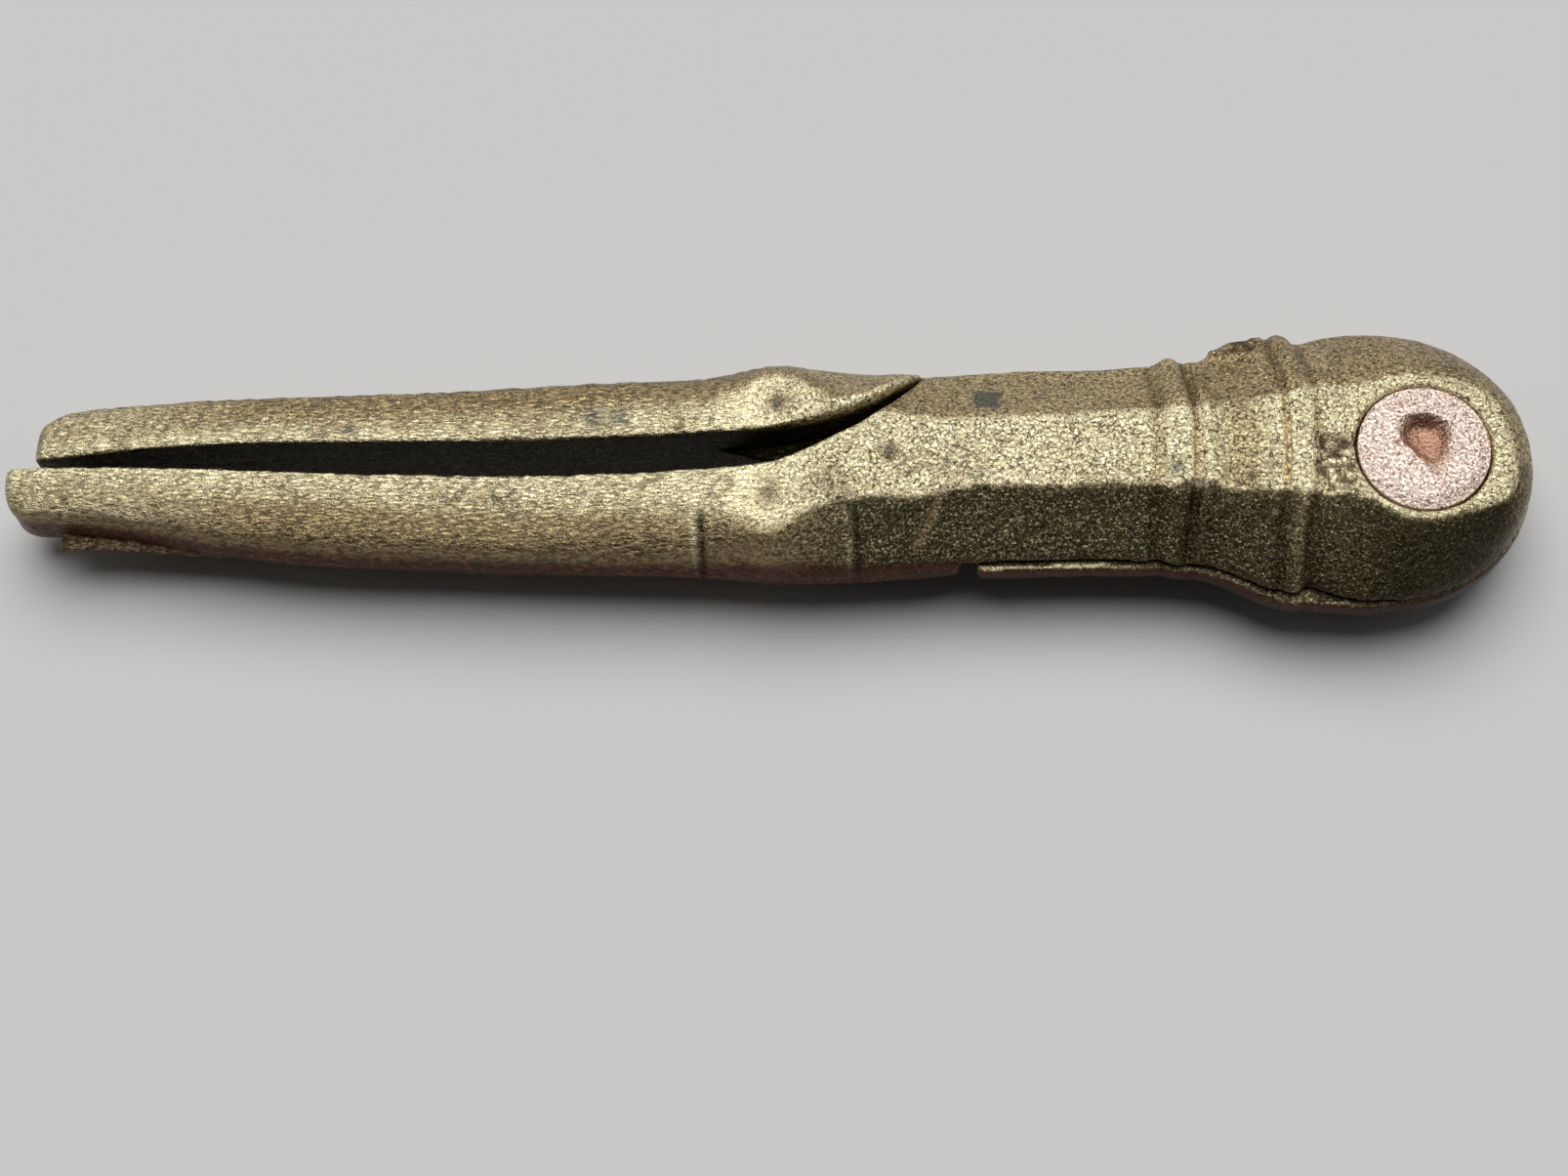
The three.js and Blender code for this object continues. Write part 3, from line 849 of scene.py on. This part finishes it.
def near_slope(points, slope, rim, wear):
    """Painted shade on the near slope from the knee to the head: 1 there, less where it's rubbed and at
    the head's end.
    """
    x, y, _ = points.T
    near = ramp(-y, *NEAR_SIDE) * slope * ramp(x, *NEAR_SHADE) * (1 - rim) * (1 - RUBBED_LIGHT * wear)
    near *= 1 - HEAD_END_LIGHT * ramp(x, *HEAD_END)
    return near * (1 - LAST_RING_LIGHT * bump(bowed_x(x, y) - LAST_RING_X, LAST_RING_WIDTH))


def lever_places(lever, points, normals, wear):
    """The places on a lever that have tones of their own, each from 0 to 1 at every point."""
    x, y, z = points.T
    level = np.abs(normals[:, 2])
    across, width, facet = plan_shape(lever, x, y)
    handle = ramp(-x, *HANDLE_TONE)
    past_edge = across - facet + FACET_SHIFT[lever] * handle
    fade_from, fade_to = (neck + more * handle for neck, more in (SLOPE_FROM, SLOPE_TO))
    slope = ramp(past_edge + waves(points, *SLOPE_NOISE), fade_from, fade_to)
    outside = y < 0.1 - curve(NEAR_WIDTH)(x)
    seam = (np.abs(z - SEAM_Z) < 0.3) & (level > NEARLY_LEVEL)
    ledge = seam & outside & (x > LEDGE_SPAN[0]) & (x < LEDGE_SPAN[1])
    in_crotch = (lever == "lower") & (x > CROTCH_SPAN[0]) & (x < CROTCH_SPAN[1])
    crotch = in_crotch & (z < SEAM_Z + 0.7) & (across < width - 1.2)
    rim = rubbed_and_lit_rims(lever, points)
    return SimpleNamespace(
        up=ramp(normals[:, 2], *LOOKING_UP),
        handle=handle,
        slope=slope,
        flat=ramp(level, *NEARLY_FLAT) * (1 - slope),
        fin=(x < FIN_TONE_END) & outside & (np.abs(z - FIN_Z) < FIN_TONE_REACH),
        ledge=ledge,
        crotch=crotch,
        mating=(seam & (across < width - 0.4) & ~ledge) | (crotch & (normals[:, 2] > 0.1)),
        rim=rim,
        near=near_slope(points, slope, rim, wear),
        inner=inner_side(lever, points, normals, handle, rim),
    )


def polished_and_lit(lever, points, normals, wear, at):
    """How pale the metal is: worn by handling, and painted highlight on the flat tops and the rims."""
    x, y, _ = points.T
    dulling = HANDLE_DULLING[lever] - STROKE_CONTRAST * handle_strokes(lever, points)
    polish_and_highlight = at.flat * curve(RING_WEAR_AND_SHADE)(bowed_x(x, y)) * (1 - dulling * at.handle)
    tip = WORN_AND_LIT["tip"] * at.up * ramp(-x, *TIP_WEAR) * ramp(normals[:, 2], *LOOKING_STRAIGHT_UP)
    end = WORN_AND_LIT["end"] * ramp(-x, *END_WEAR)
    edge = WORN_AND_LIT["edge"] * wear * (normals[:, 2] > 0) * (1 - at.mating)
    for brightened in (tip, end, at.rim, edge):
        polish_and_highlight = np.maximum(polish_and_highlight, brightened)
    ledge = WORN_AND_LIT["ledge"] * ramp(-x, *LEDGE_WEAR) + LEAST_LEDGE_WEAR
    return np.where(at.ledge, ledge, polish_and_highlight)


def purpled(lever, points, normals, at):
    """Where reddish purple lies, apart from single marks: patina, and painted shade with a painted
    reflection of a dark red ground on the low walls and under the ledge.
    """
    x, y, z = points.T
    low = PURPLED["low wall"] * low_wall(points, normals) * (1 - at.inner)
    purple = np.maximum(low, PURPLED["fin"] * at.fin)
    head_far = at.slope * ramp(y, *FAR_SIDE) * ramp(x, *HEAD_START) * (z > MID_Z)
    purple = np.maximum(purple, (HEAD_FAR_LEAST + waves(points, *HEAD_FAR_NOISE)) * head_far)
    for groove in GROOVES:
        tarnish = bump(bowed_x(x, y) - groove, GROOVE_REACH) * at.slope * (z > SEAM_Z)
        purple = np.maximum(purple, PURPLED["groove"] * tarnish)
    if lever == "lower":
        # Painted shade and painted reflection on the near wall under the ledge.
        under_ledge = (y < 0) & (x > CROTCH_SPAN[1]) & ~at.ledge & (z > MID_Z - LEDGE_WALL_DEPTH)
        near_wall = ramp(-normals[:, 1], *LEDGE_WALL_TURN)
        purple = np.maximum(purple, PURPLED["under ledge"] * under_ledge * near_wall)
    return purple


def painted_black_shade(points, at):
    """Where painted shade lies in black, apart from single marks: on the walls facing the gap, in the
    crotch, on the plates' mating faces, and on the near slope towards the head.
    """
    x = points[:, 0]
    # Painted shade on the mating faces and in the crotch between the levers.
    mating = np.where(at.crotch, GRIMED_AND_SHADED["crotch"], GRIMED_AND_SHADED["plate"]) * at.mating
    # Painted shade deepening on the near slope towards the head.
    neck, head = SLOPE_SHADE_DEEPENING
    deepening = neck * ramp(x, *HEAD_START) + head * ramp(x, *HEAD_SHADE_DEEPENING)
    slope = deepening * at.near * ramp(-x, *HEAD_SHADE_DEEPENING_END)
    return np.maximum(np.maximum(GRIMED_AND_SHADED["inner wall"] * at.inner, mating), slope)


def lever_paint(lever, points, normals, wear):
    """The tones of the metal at every point, which the brass material mixes in turn, with painted shade
    and painted highlight among them.
    """
    x, y, _ = points.T
    at = lever_places(lever, points, normals, wear)
    ledge_shade = SHADED["ledge"] * ramp(x, *LEDGE_SHADE)
    paint = {
        "handle": at.handle,
        "polish_and_highlight": polished_and_lit(lever, points, normals, wear, at),
        "purple": purpled(lever, points, normals, at),
        "stain": np.zeros(len(points)),
        "shade": np.maximum(np.where(at.ledge, ledge_shade, at.near), at.inner),
        "grime_and_shade": painted_black_shade(points, at),
    }

    def deepen(tone, values):
        paint[tone] = np.maximum(paint[tone], values)

    for spot_x, spot_y, radius in STAINS[lever]:
        deepen("stain", STAINED["spot"] * at.up * near_place(points, spot_x, spot_y, radius))
    for spot_x, spot_y, radius, strength in REDDENED[lever]:
        deepen("purple", strength * at.up * near_place(points, spot_x, spot_y, radius))
    if lever == "upper":
        square = within(x, *SQUARE_STAIN[0]) * within(y, *SQUARE_STAIN[1])
        deepen("stain", STAINED["square"] * square * at.up)
        lump = flash_lump(points) * ramp(value_noise(points, *LUMP_NOISE), -0.5, 0.1)
        deepen("purple", PURPLED["lump"] * lump)
        deepen("grime_and_shade", GRIMED_AND_SHADED["lump"] * lump)
        # Each crease gets a painted shadow just past it, and a painted highlight with lifted painted
        # shade on its light side.
        low_side = ramp(-y, *LOW_SIDE) * (normals[:, 2] > 0)
        for crease_x, _, _ in CREASES:
            past = crease_past(crease_x, x, y)
            beside = (CREASE_SHADOW, CREASE_HIGHLIGHT, CREASE_LIGHT)
            grime_and_shade, brightened, light = (bump(past - middle, width) for middle, width in beside)
            deepen("grime_and_shade", GRIMED_AND_SHADED["crease"] * grime_and_shade * low_side)
            deepen("polish_and_highlight", WORN_AND_LIT["crease"] * brightened * low_side)
            paint["shade"] *= 1 - SHADED["crease"] * light * low_side
    # Scored lines lift the painted shade along them and take on purple; raised lines are pale, with a
    # painted shadow beside the higher ones.
    for path, half_width, depth in SCRATCHES[lever]:
        distance = path_distance(points, path)
        line = bump(distance, half_width) * at.up
        beside = bump(distance - 2.2 * half_width, half_width) * at.up
        if depth > 0:
            paint["shade"] *= 1 - SHADED["scratch"] * line
            deepen("purple", PURPLED["scratch"] * line)
        else:
            deepen("polish_and_highlight", line)
        if depth < -0.1:
            deepen("grime_and_shade", GRIMED_AND_SHADED["scratch"] * beside)
    pores = porous_patch(lever, points)
    deepen("purple", PURPLED["pore"] * pores)
    deepen("grime_and_shade", GRIMED_AND_SHADED["pore"] * pores)
    return paint


def build_lever(lever):
    """One lever: its field meshed and relaxed, then worked over and painted."""
    low = BOX_LOW - GRID_MARGIN
    high = BOX_HIGH + GRID_MARGIN
    x, y, z = (np.arange(low[k], high[k], GRID_STEP) for k in range(3))
    points, quads = surface_net(lever_field(lever, x, y, z))
    points = points * GRID_STEP + np.array([x[0], y[0], z[0]])
    edges = quad_edges(quads)
    points = relaxed(points, edges, RELAX_STRENGTH, RELAX_ROUNDS)
    normals = point_normals(points, quads)
    wear = edge_wear(points, edges, normals)
    points = points + normals * lever_relief(lever, points, normals)[:, None]
    points = np.clip(points, BOX_LOW, BOX_HIGH)
    paint = lever_paint(lever, points, normals, wear)
    return mesh_object(lever + "_lever_cast", points, quads.tolist(), paint)


# ---- Rivet ----
PUNCH_CENTRE = (0.2, 0.9)
PUNCH_OUTLINE = [
    [-185, 2.2], [-175, 2.15], [-137, 1.8], [-95, 2.5], [-76, 3.2], [-51, 2.6],
    [-5, 2.15], [43, 2.3], [87, 2.15], [125, 2.5], [150, 2.45], [175, 2.2],
]
PUNCH_DEEPEST = (0.15, 1.75)
PUNCH_DEPTH = 1.05
PUNCH_REACH = 1.9
PUNCH_STRETCH = 0.75
PUNCH_LEAST = 0.1
PUNCH_WALL = (1.06, 0.5)
PUNCH_LIP = (0.05, 0.1)
PUNCH_TONE = (1.12, 0.45, 0.85)
PUNCH_NOISE = (0.12, 0.8, 23)
CROWN = (0.04, 0.06)
BEVEL_START = 4.35
BEVEL_LEAST = 0.12
BEVEL_DROP = 0.2
BEVEL_NEAR = (-3.0, 4.5)
HAMMER_FLATS = (0.035, 1.7, 21)
HAMMER_GRAIN = (0.018, 0.6, 22)
FOOT_FLATS = (0.035, 1.9, 24)
FOOT_RISE = 0.03
FOOT_ROUNDING = 0.25
SIDE_TONE = 0.35


def rivet_top(x, y):
    """Height of the peened face: a shallow crown, a bevelled near edge, hammer flats and the hollow."""
    radius = np.hypot(x, y)
    near = ramp(-y, *BEVEL_NEAR)
    bevel = ramp(radius, BEVEL_START - 0.1, RIVET_RADIUS + 0.1)
    z = RIVET_HEIGHT - CROWN[0] - CROWN[1] * (radius / RIVET_RADIUS) ** 2
    z = z - (BEVEL_LEAST + BEVEL_DROP * near) * bevel
    points = np.stack([x, y, 0 * x], 1)
    z = z + waves(points, *HAMMER_FLATS) + waves(points, *HAMMER_GRAIN)
    dx = x - PUNCH_CENTRE[0]
    dy = y - PUNCH_CENTRE[1]
    outline = curve(PUNCH_OUTLINE)(np.degrees(np.arctan2(dy, dx)))
    share = np.hypot(dx, dy) / (outline + waves(points, *PUNCH_NOISE))
    from_deepest = np.hypot(x - PUNCH_DEEPEST[0], (y - PUNCH_DEEPEST[1]) * PUNCH_STRETCH)
    edge, wall = PUNCH_WALL
    depth = PUNCH_LEAST + PUNCH_DEPTH * bump(from_deepest, PUNCH_REACH)
    lip_height, lip_width = PUNCH_LIP
    z = z - depth * ramp(edge - share, 0, wall) + lip_height * bump(share - edge, lip_width)
    tone_edge, tone_fade, tone = PUNCH_TONE
    return np.minimum(z, RIVET_HEIGHT), tone * ramp(tone_edge - share, 0, tone_fade)


def rivet_foot(x, y):
    """Height of the lower peened face, which the nutcracker lies on."""
    points = np.stack([x, y, 0 * x + 9], 1)
    rounded = FOOT_ROUNDING * ramp(np.hypot(x, y), BEVEL_START, RIVET_RADIUS + 0.1)
    return np.maximum(FOOT_RISE + rounded + waves(points, *FOOT_FLATS), 0)


def build_rivet():
    """The rivet: two peened faces joined by the cones and the shank that hold the levers."""
    turns = 192
    rings = 64
    angle = np.arange(turns) * 2 * np.pi / turns
    radii = RIVET_RADIUS * np.linspace(0, 1, rings + 1)[1:]
    face_x = np.concatenate([[0], np.outer(radii, np.cos(angle)).ravel()])
    face_y = np.concatenate([[0], np.outer(radii, np.sin(angle)).ravel()])
    top, hollow = rivet_top(face_x, face_y)
    foot = rivet_foot(face_x, face_y)
    cone_top = RIVET_HEIGHT - RIVET_LAND
    cone_foot = RIVET_LAND + RIVET_CONE
    profile = [
        (RIVET_RADIUS, cone_top), (SHANK_RADIUS, cone_top - RIVET_CONE),
        (SHANK_RADIUS, cone_foot), (RIVET_RADIUS, RIVET_LAND),
    ]
    sides = [
        np.stack([radius * np.cos(angle), radius * np.sin(angle), np.full(turns, z)], 1)
        for radius, z in profile
    ]
    upper = np.stack([face_x, face_y, top], 1)
    lower = np.stack([face_x, face_y, foot], 1)
    points = np.concatenate([upper] + sides + [lower])
    count = len(face_x)
    next_turn = np.roll(np.arange(turns), -1)

    def band(first, second):
        return np.stack([first, second, second[next_turn], first[next_turn]], 1)

    loops = [1 + k * turns + np.arange(turns) for k in range(rings)]
    loops += [count + k * turns + np.arange(turns) for k in range(len(sides))]
    below = count + len(sides) * turns
    loops += [below + 1 + k * turns + np.arange(turns) for k in reversed(range(rings))]
    quads = np.concatenate([band(a, b) for a, b in zip(loops[:-1], loops[1:])]).tolist()
    caps = [[0, int(a), int(b)] for a, b in zip(loops[0], loops[0][next_turn])]
    caps += [[below, int(b), int(a)] for a, b in zip(loops[-1], loops[-1][next_turn])]
    inside = np.concatenate([hollow, np.full(len(points) - count, SIDE_TONE)])
    return mesh_object("pivot_rivet_peened", points, quads + caps, {"hollow": inside})


# ---- Materials ----
class Nodes:
    """Makes and joins the nodes of one material."""

    def __init__(self, name):
        self.material = bpy.data.materials.new(name)
        self.material.use_nodes = True
        self.tree = self.material.node_tree
        self.surface = self.tree.nodes["Principled BSDF"]

    def add(self, kind, inputs=None, **settings):
        node = self.tree.nodes.new("ShaderNode" + kind)
        for key, value in settings.items():
            setattr(node, key, value)
        for key, value in (inputs or {}).items():
            self.fill(node.inputs[key], value)
        return node

    def fill(self, socket, value):
        """Joins another node's output to the input, or gives it a number, a vector or a colour."""
        if isinstance(value, bpy.types.NodeSocket):
            self.tree.links.new(value, socket)
        elif socket.type == "RGBA":
            socket.default_value = (*value, 1.0)
        else:
            socket.default_value = value

    def finish(self, **inputs):
        """Fills the surface's inputs, named with underscores for spaces, and gives the material."""
        for key, value in inputs.items():
            self.fill(self.surface.inputs[key.replace("_", " ")], value)
        return self.material

    def place(self, scale=(1.0, 1.0, 1.0)):
        """The point on the object in millimetres, stretched."""
        coordinates = self.add("TexCoord").outputs["Object"]
        settings = {"Vector": coordinates, "Scale": [k / MM for k in scale]}
        return self.add("Mapping", settings).outputs["Vector"]

    def noise(self, place, scale, detail=2.0, roughness=0.5, distortion=0.0):
        form = {"Scale": scale, "Detail": detail, "Roughness": roughness, "Distortion": distortion}
        return self.add("TexNoise", {"Vector": place, **form}).outputs["Fac"]

    def spread(self, value, low, high, to_low=0.0, to_high=1.0):
        ends = {"From Min": low, "From Max": high, "To Min": to_low, "To Max": to_high}
        node = self.add("MapRange", {"Value": value, **ends}, interpolation_type="SMOOTHSTEP")
        return node.outputs["Result"]

    def maths(self, operation, a, b):
        return self.add("Math", {0: a, 1: b}, operation=operation).outputs["Value"]

    def mix(self, factor, a, b, data_type="RGBA", sockets="RGBA"):
        """Goes from colour a to colour b with the factor."""
        node = self.add("Mix", {"Factor": factor}, data_type=data_type)
        for key, value in (("A", a), ("B", b)):
            self.fill([i for i in node.inputs if i.name == key and i.type == sockets][0], value)
        return [o for o in node.outputs if o.type == sockets][0]

    def blend(self, factor, a, b):
        """Goes from number a to number b with the factor."""
        return self.mix(factor, a, b, "FLOAT", "VALUE")

    def bump(self, height, distance, normal=None):
        settings = {"Height": height, "Distance": distance * MM, "Strength": 1.0}
        if normal is not None:
            settings["Normal"] = normal
        return self.add("Bump", settings).outputs["Normal"]

    def painted(self, name):
        return self.add("Attribute", attribute_name=name).outputs["Fac"]


PALE_BRASS = (0.93, 0.83, 0.53)
GOLD_BRASS = (0.66, 0.51, 0.28)
DULL_BRASS = (0.39, 0.295, 0.155)
HANDLE_BROWN = (0.24, 0.175, 0.095)
BROWN_PATINA = (0.30, 0.20, 0.11)
# Purple patina, also used for painted shade and painted reflection on the low walls.
PURPLE_PATINA_AND_REFLECTION = (0.045, 0.01, 0.008)
RED_FLECK = (0.15, 0.055, 0.037)
# Painted shade of the near slopes: dark olive with lighter flecks.
NEAR_SHADE_OLIVE = (0.05, 0.043, 0.02)
NEAR_SHADE_FLECK = (0.55, 0.46, 0.27)
GREY_STAIN = (0.10, 0.11, 0.105)
# Black for grime, and for painted shade in gaps, in creases, beside raised scratches and on the near
# head.
GRIME_AND_SHADE_BLACK = (0.014, 0.011, 0.006)
CAVITY = (0.07, 0.058, 0.027)
# Stretch of the grain along the handles.
DRAWN_OUT = (0.5, 1.25, 1.1)
# Noises: cycles per millimetre, detail, roughness and distortion.
SAND = (3.2, 4.0, 0.65, 0.8)
DRAWN_SAND = (3.2, 4.0, 0.62, 0.6)
FINE_GRAIN = (8.0, 2.0, 0.6)
LUMPS = (1.1, 3.0, 0.55)
CLOUD = (0.16, 4.0, 0.6)
WARMTH = (0.32, 3.0, 0.6, 0.4)
FLECKS = (5.0, 3.0, 0.6, 0.5)
# Ranges of a noise, and what they become.
PITS = (0.4, 0.48, 1.0, 0.0)
CRESTS = (0.45, 0.62)
OLIVE_CRESTS = (0.485, 0.63)
CLOUD_POLISH = (0.3, 0.7, 0.75, 1.0)
WARM_PATCHES = (0.5, 0.75, 0.0, 0.35)
BRASS_ROUGHNESS = (0.25, 0.75, 0.2, 0.34)
PIT_ROUGHNESS = 0.15
FLECK_SHARE = 0.6
# How full of grime the pits are on the head and on the handles.
PIT_GRIME = (0.9, 0.6)
# Heights in millimetres.
LUMP_HEIGHT = 0.16
GRAIN_HEIGHT = 0.21
FINE_HEIGHT = 0.03


def cast_brass():
    """Sand-cast brass: pale where it's worn and where highlight is painted, brown elsewhere, olive
    where shade is painted, purple for patina and painted reflection, black for grime and painted shade.
    """
    n = Nodes("cast_brass")
    plain = n.place()
    along = n.place(DRAWN_OUT)
    handle = n.painted("handle")
    sand = n.noise(plain, *SAND)
    drawn = n.noise(along, *DRAWN_SAND)
    grain = n.blend(handle, sand, drawn)
    fine = n.noise(plain, *FINE_GRAIN)
    lumps = n.noise(plain, *LUMPS)
    cloud = n.noise(plain, *CLOUD)
    warm = n.noise(plain, *WARMTH)
    pit = n.spread(grain, *PITS)
    crest = n.spread(grain, *CRESTS)
    slope = n.mix(crest, DULL_BRASS, GOLD_BRASS)
    brown = n.mix(crest, HANDLE_BROWN, DULL_BRASS)
    base = n.mix(handle, slope, brown)
    # Pale from wear, and painted highlight on the flat tops and the rims.
    polish_and_highlight = n.maths("MULTIPLY", n.painted("polish_and_highlight"), n.spread(cloud, *CLOUD_POLISH))
    metal = n.mix(polish_and_highlight, base, PALE_BRASS)
    metal = n.mix(n.spread(warm, *WARM_PATCHES), metal, BROWN_PATINA)
    flecks = n.blend(FLECK_SHARE, grain, n.noise(plain, *FLECKS))
    # Painted shade: olive with lighter flecks.
    olive = n.mix(n.spread(flecks, *OLIVE_CRESTS), NEAR_SHADE_OLIVE, NEAR_SHADE_FLECK)
    metal = n.mix(n.painted("shade"), metal, olive)
    metal = n.mix(n.painted("purple"), metal, n.mix(crest, PURPLE_PATINA_AND_REFLECTION, RED_FLECK))
    metal = n.mix(n.painted("stain"), metal, GREY_STAIN)
    # Black: grime, and painted shade in gaps, in creases, beside raised scratches and on the near head.
    metal = n.mix(n.painted("grime_and_shade"), metal, GRIME_AND_SHADE_BLACK)
    colour = n.mix(n.maths("MULTIPLY", pit, n.blend(handle, *PIT_GRIME)), metal, CAVITY)
    rough = n.spread(fine, *BRASS_ROUGHNESS)
    rough = n.maths("ADD", rough, n.maths("MULTIPLY", pit, PIT_ROUGHNESS))
    normal = n.bump(lumps, LUMP_HEIGHT)
    normal = n.bump(grain, GRAIN_HEIGHT, normal)
    normal = n.bump(fine, FINE_HEIGHT, normal)
    return n.finish(Base_Color=colour, Roughness=rough, Metallic=1.0, Normal=normal)


PALE_COPPER = (0.82, 0.66, 0.57)
ORANGE_COPPER = (0.46, 0.25, 0.15)
COPPER_CAVITY = (0.10, 0.05, 0.04)
SPECKS = (3.5, 3.0, 0.65, 0.5)
COPPER_FINE = (6.5, 2.0, 0.6)
COPPER_CLOUD = (0.4, 3.0, 0.6)
SPECK_WALLS = (0.36, 0.47)
ORANGE_PATCHES = (0.45, 0.8, 0.0, 0.35)
CAVITY_DEPTH = (0.0, 1.0, 0.8, 0.0)
COPPER_ROUGHNESS = (0.2, 0.8, 0.28, 0.42)
SPECK_HEIGHT = 0.2
COPPER_FINE_HEIGHT = 0.02


def peened_copper():
    """Pale hammered copper with dark specks, redder in the hollow."""
    n = Nodes("copper")
    plain = n.place()
    specks = n.noise(plain, *SPECKS)
    fine = n.noise(plain, *COPPER_FINE)
    cloud = n.noise(plain, *COPPER_CLOUD)
    bright = n.spread(specks, *SPECK_WALLS)
    metal = n.mix(n.spread(cloud, *ORANGE_PATCHES), PALE_COPPER, ORANGE_COPPER)
    metal = n.mix(n.painted("hollow"), metal, ORANGE_COPPER)
    colour = n.mix(n.spread(bright, *CAVITY_DEPTH), metal, COPPER_CAVITY)
    rough = n.spread(fine, *COPPER_ROUGHNESS)
    normal = n.bump(specks, SPECK_HEIGHT)
    normal = n.bump(fine, COPPER_FINE_HEIGHT, normal)
    return n.finish(Base_Color=colour, Roughness=rough, Metallic=1.0, Normal=normal)


def pale_floor():
    return Nodes("floor").finish(Base_Color=FLOOR_COLOUR, Roughness=FLOOR_ROUGHNESS)


# ---- Scene ----
FLOOR_COLOUR = (0.56, 0.555, 0.545)
FLOOR_ROUGHNESS = 0.9
FLOOR_HALF = 3.0
WALL_COLOUR = (0.75, 0.74, 0.72)
DIM_LIGHT = (0.035, 0.035, 0.037)
# The skylight: lean to the far side and spread in degrees, then strength.
SKYLIGHT = (24, 60, 3.25)
SOFTBOX_PLACES = {"left": (-0.8, 0.1, 0.42), "right": (0.7, 0.1, 0.42)}
SOFTBOX_SIZE = 0.5
SOFTBOX_RADIANCE = 0.6
OBJECT_MIDDLE = (CAMERA_TARGET.x, 0.0, 0.006)


def add_camera():
    data = bpy.data.cameras.new("camera")
    data.lens = LENS
    data.sensor_width = SENSOR
    data.clip_start = 0.01
    camera = add_object("camera", data)
    back = (CAMERA_PLACE - CAMERA_TARGET).normalized()
    turn = back.to_track_quat("Z", "Y").to_matrix().to_4x4() @ Matrix.Rotation(CAMERA_ROLL, 4, "Z")
    camera.matrix_world = Matrix.Translation(CAMERA_PLACE) @ turn
    bpy.context.scene.camera = camera


def add_softbox(name, place):
    """A soft square lamp that shines evenly at the object."""
    data = bpy.data.lights.new(name, "AREA")
    data.shape = "RECTANGLE"
    data.size = SOFTBOX_SIZE
    data.size_y = SOFTBOX_SIZE
    data.energy = SOFTBOX_RADIANCE * math.pi * SOFTBOX_SIZE * SOFTBOX_SIZE
    lamp = add_object(name, data)
    lamp.location = place
    lamp.rotation_euler = (Vector(place) - Vector(OBJECT_MIDDLE)).to_track_quat("Z", "Y").to_euler()
    lamp.visible_camera = False


def add_skylight(lean, spread, strength):
    """A wide soft source overhead, leaning to the far side, that lights the floor evenly all over."""
    data = bpy.data.lights.new("skylight", "SUN")
    data.angle = math.radians(spread)
    data.energy = strength
    add_object("skylight", data).rotation_euler = (-math.radians(lean), 0, 0)


def add_world(light, seen):
    """A dim even surround that the camera sees as a pale wall."""
    world = bpy.data.worlds.new("studio")
    world.use_nodes = True
    bpy.context.scene.world = world
    tree = world.node_tree
    tree.nodes.clear()
    output = tree.nodes.new("ShaderNodeOutputWorld")
    dim = tree.nodes.new("ShaderNodeBackground")
    dim.inputs["Color"].default_value = (*light, 1.0)
    wall = tree.nodes.new("ShaderNodeBackground")
    wall.inputs["Color"].default_value = (*seen, 1.0)
    either = tree.nodes.new("ShaderNodeMixShader")
    path = tree.nodes.new("ShaderNodeLightPath")
    tree.links.new(path.outputs["Is Camera Ray"], either.inputs[0])
    tree.links.new(dim.outputs[0], either.inputs[1])
    tree.links.new(wall.outputs[0], either.inputs[2])
    tree.links.new(either.outputs[0], output.inputs["Surface"])


def add_floor():
    """A wide pale floor that the nutcracker lies on."""
    sides = ((-1, -1), (1, -1), (1, 1), (-1, 1))
    corners = [(FLOOR_HALF * x, FLOOR_HALF * y, 0.0) for x, y in sides]
    mesh = bpy.data.meshes.new("floor")
    mesh.from_pydata(corners, [], [(0, 1, 2, 3)])
    mesh.materials.append(pale_floor())
    floor = add_object("floor", mesh)


add_camera()
add_world(DIM_LIGHT, WALL_COLOUR)
add_skylight(*SKYLIGHT)
for name, place in SOFTBOX_PLACES.items():
    add_softbox(name, place)
add_floor()
bpy.context.scene.view_settings.view_transform = "Standard"

brass = cast_brass()
for lever in ("upper", "lower"):
    piece = build_lever(lever)
    piece.data.materials.append(brass)
    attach(piece, lever)
    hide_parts(lever + "_lever")

rivet = build_rivet()
rivet.data.materials.append(peened_copper())
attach(rivet, "lower")
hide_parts("pivot_rivet")
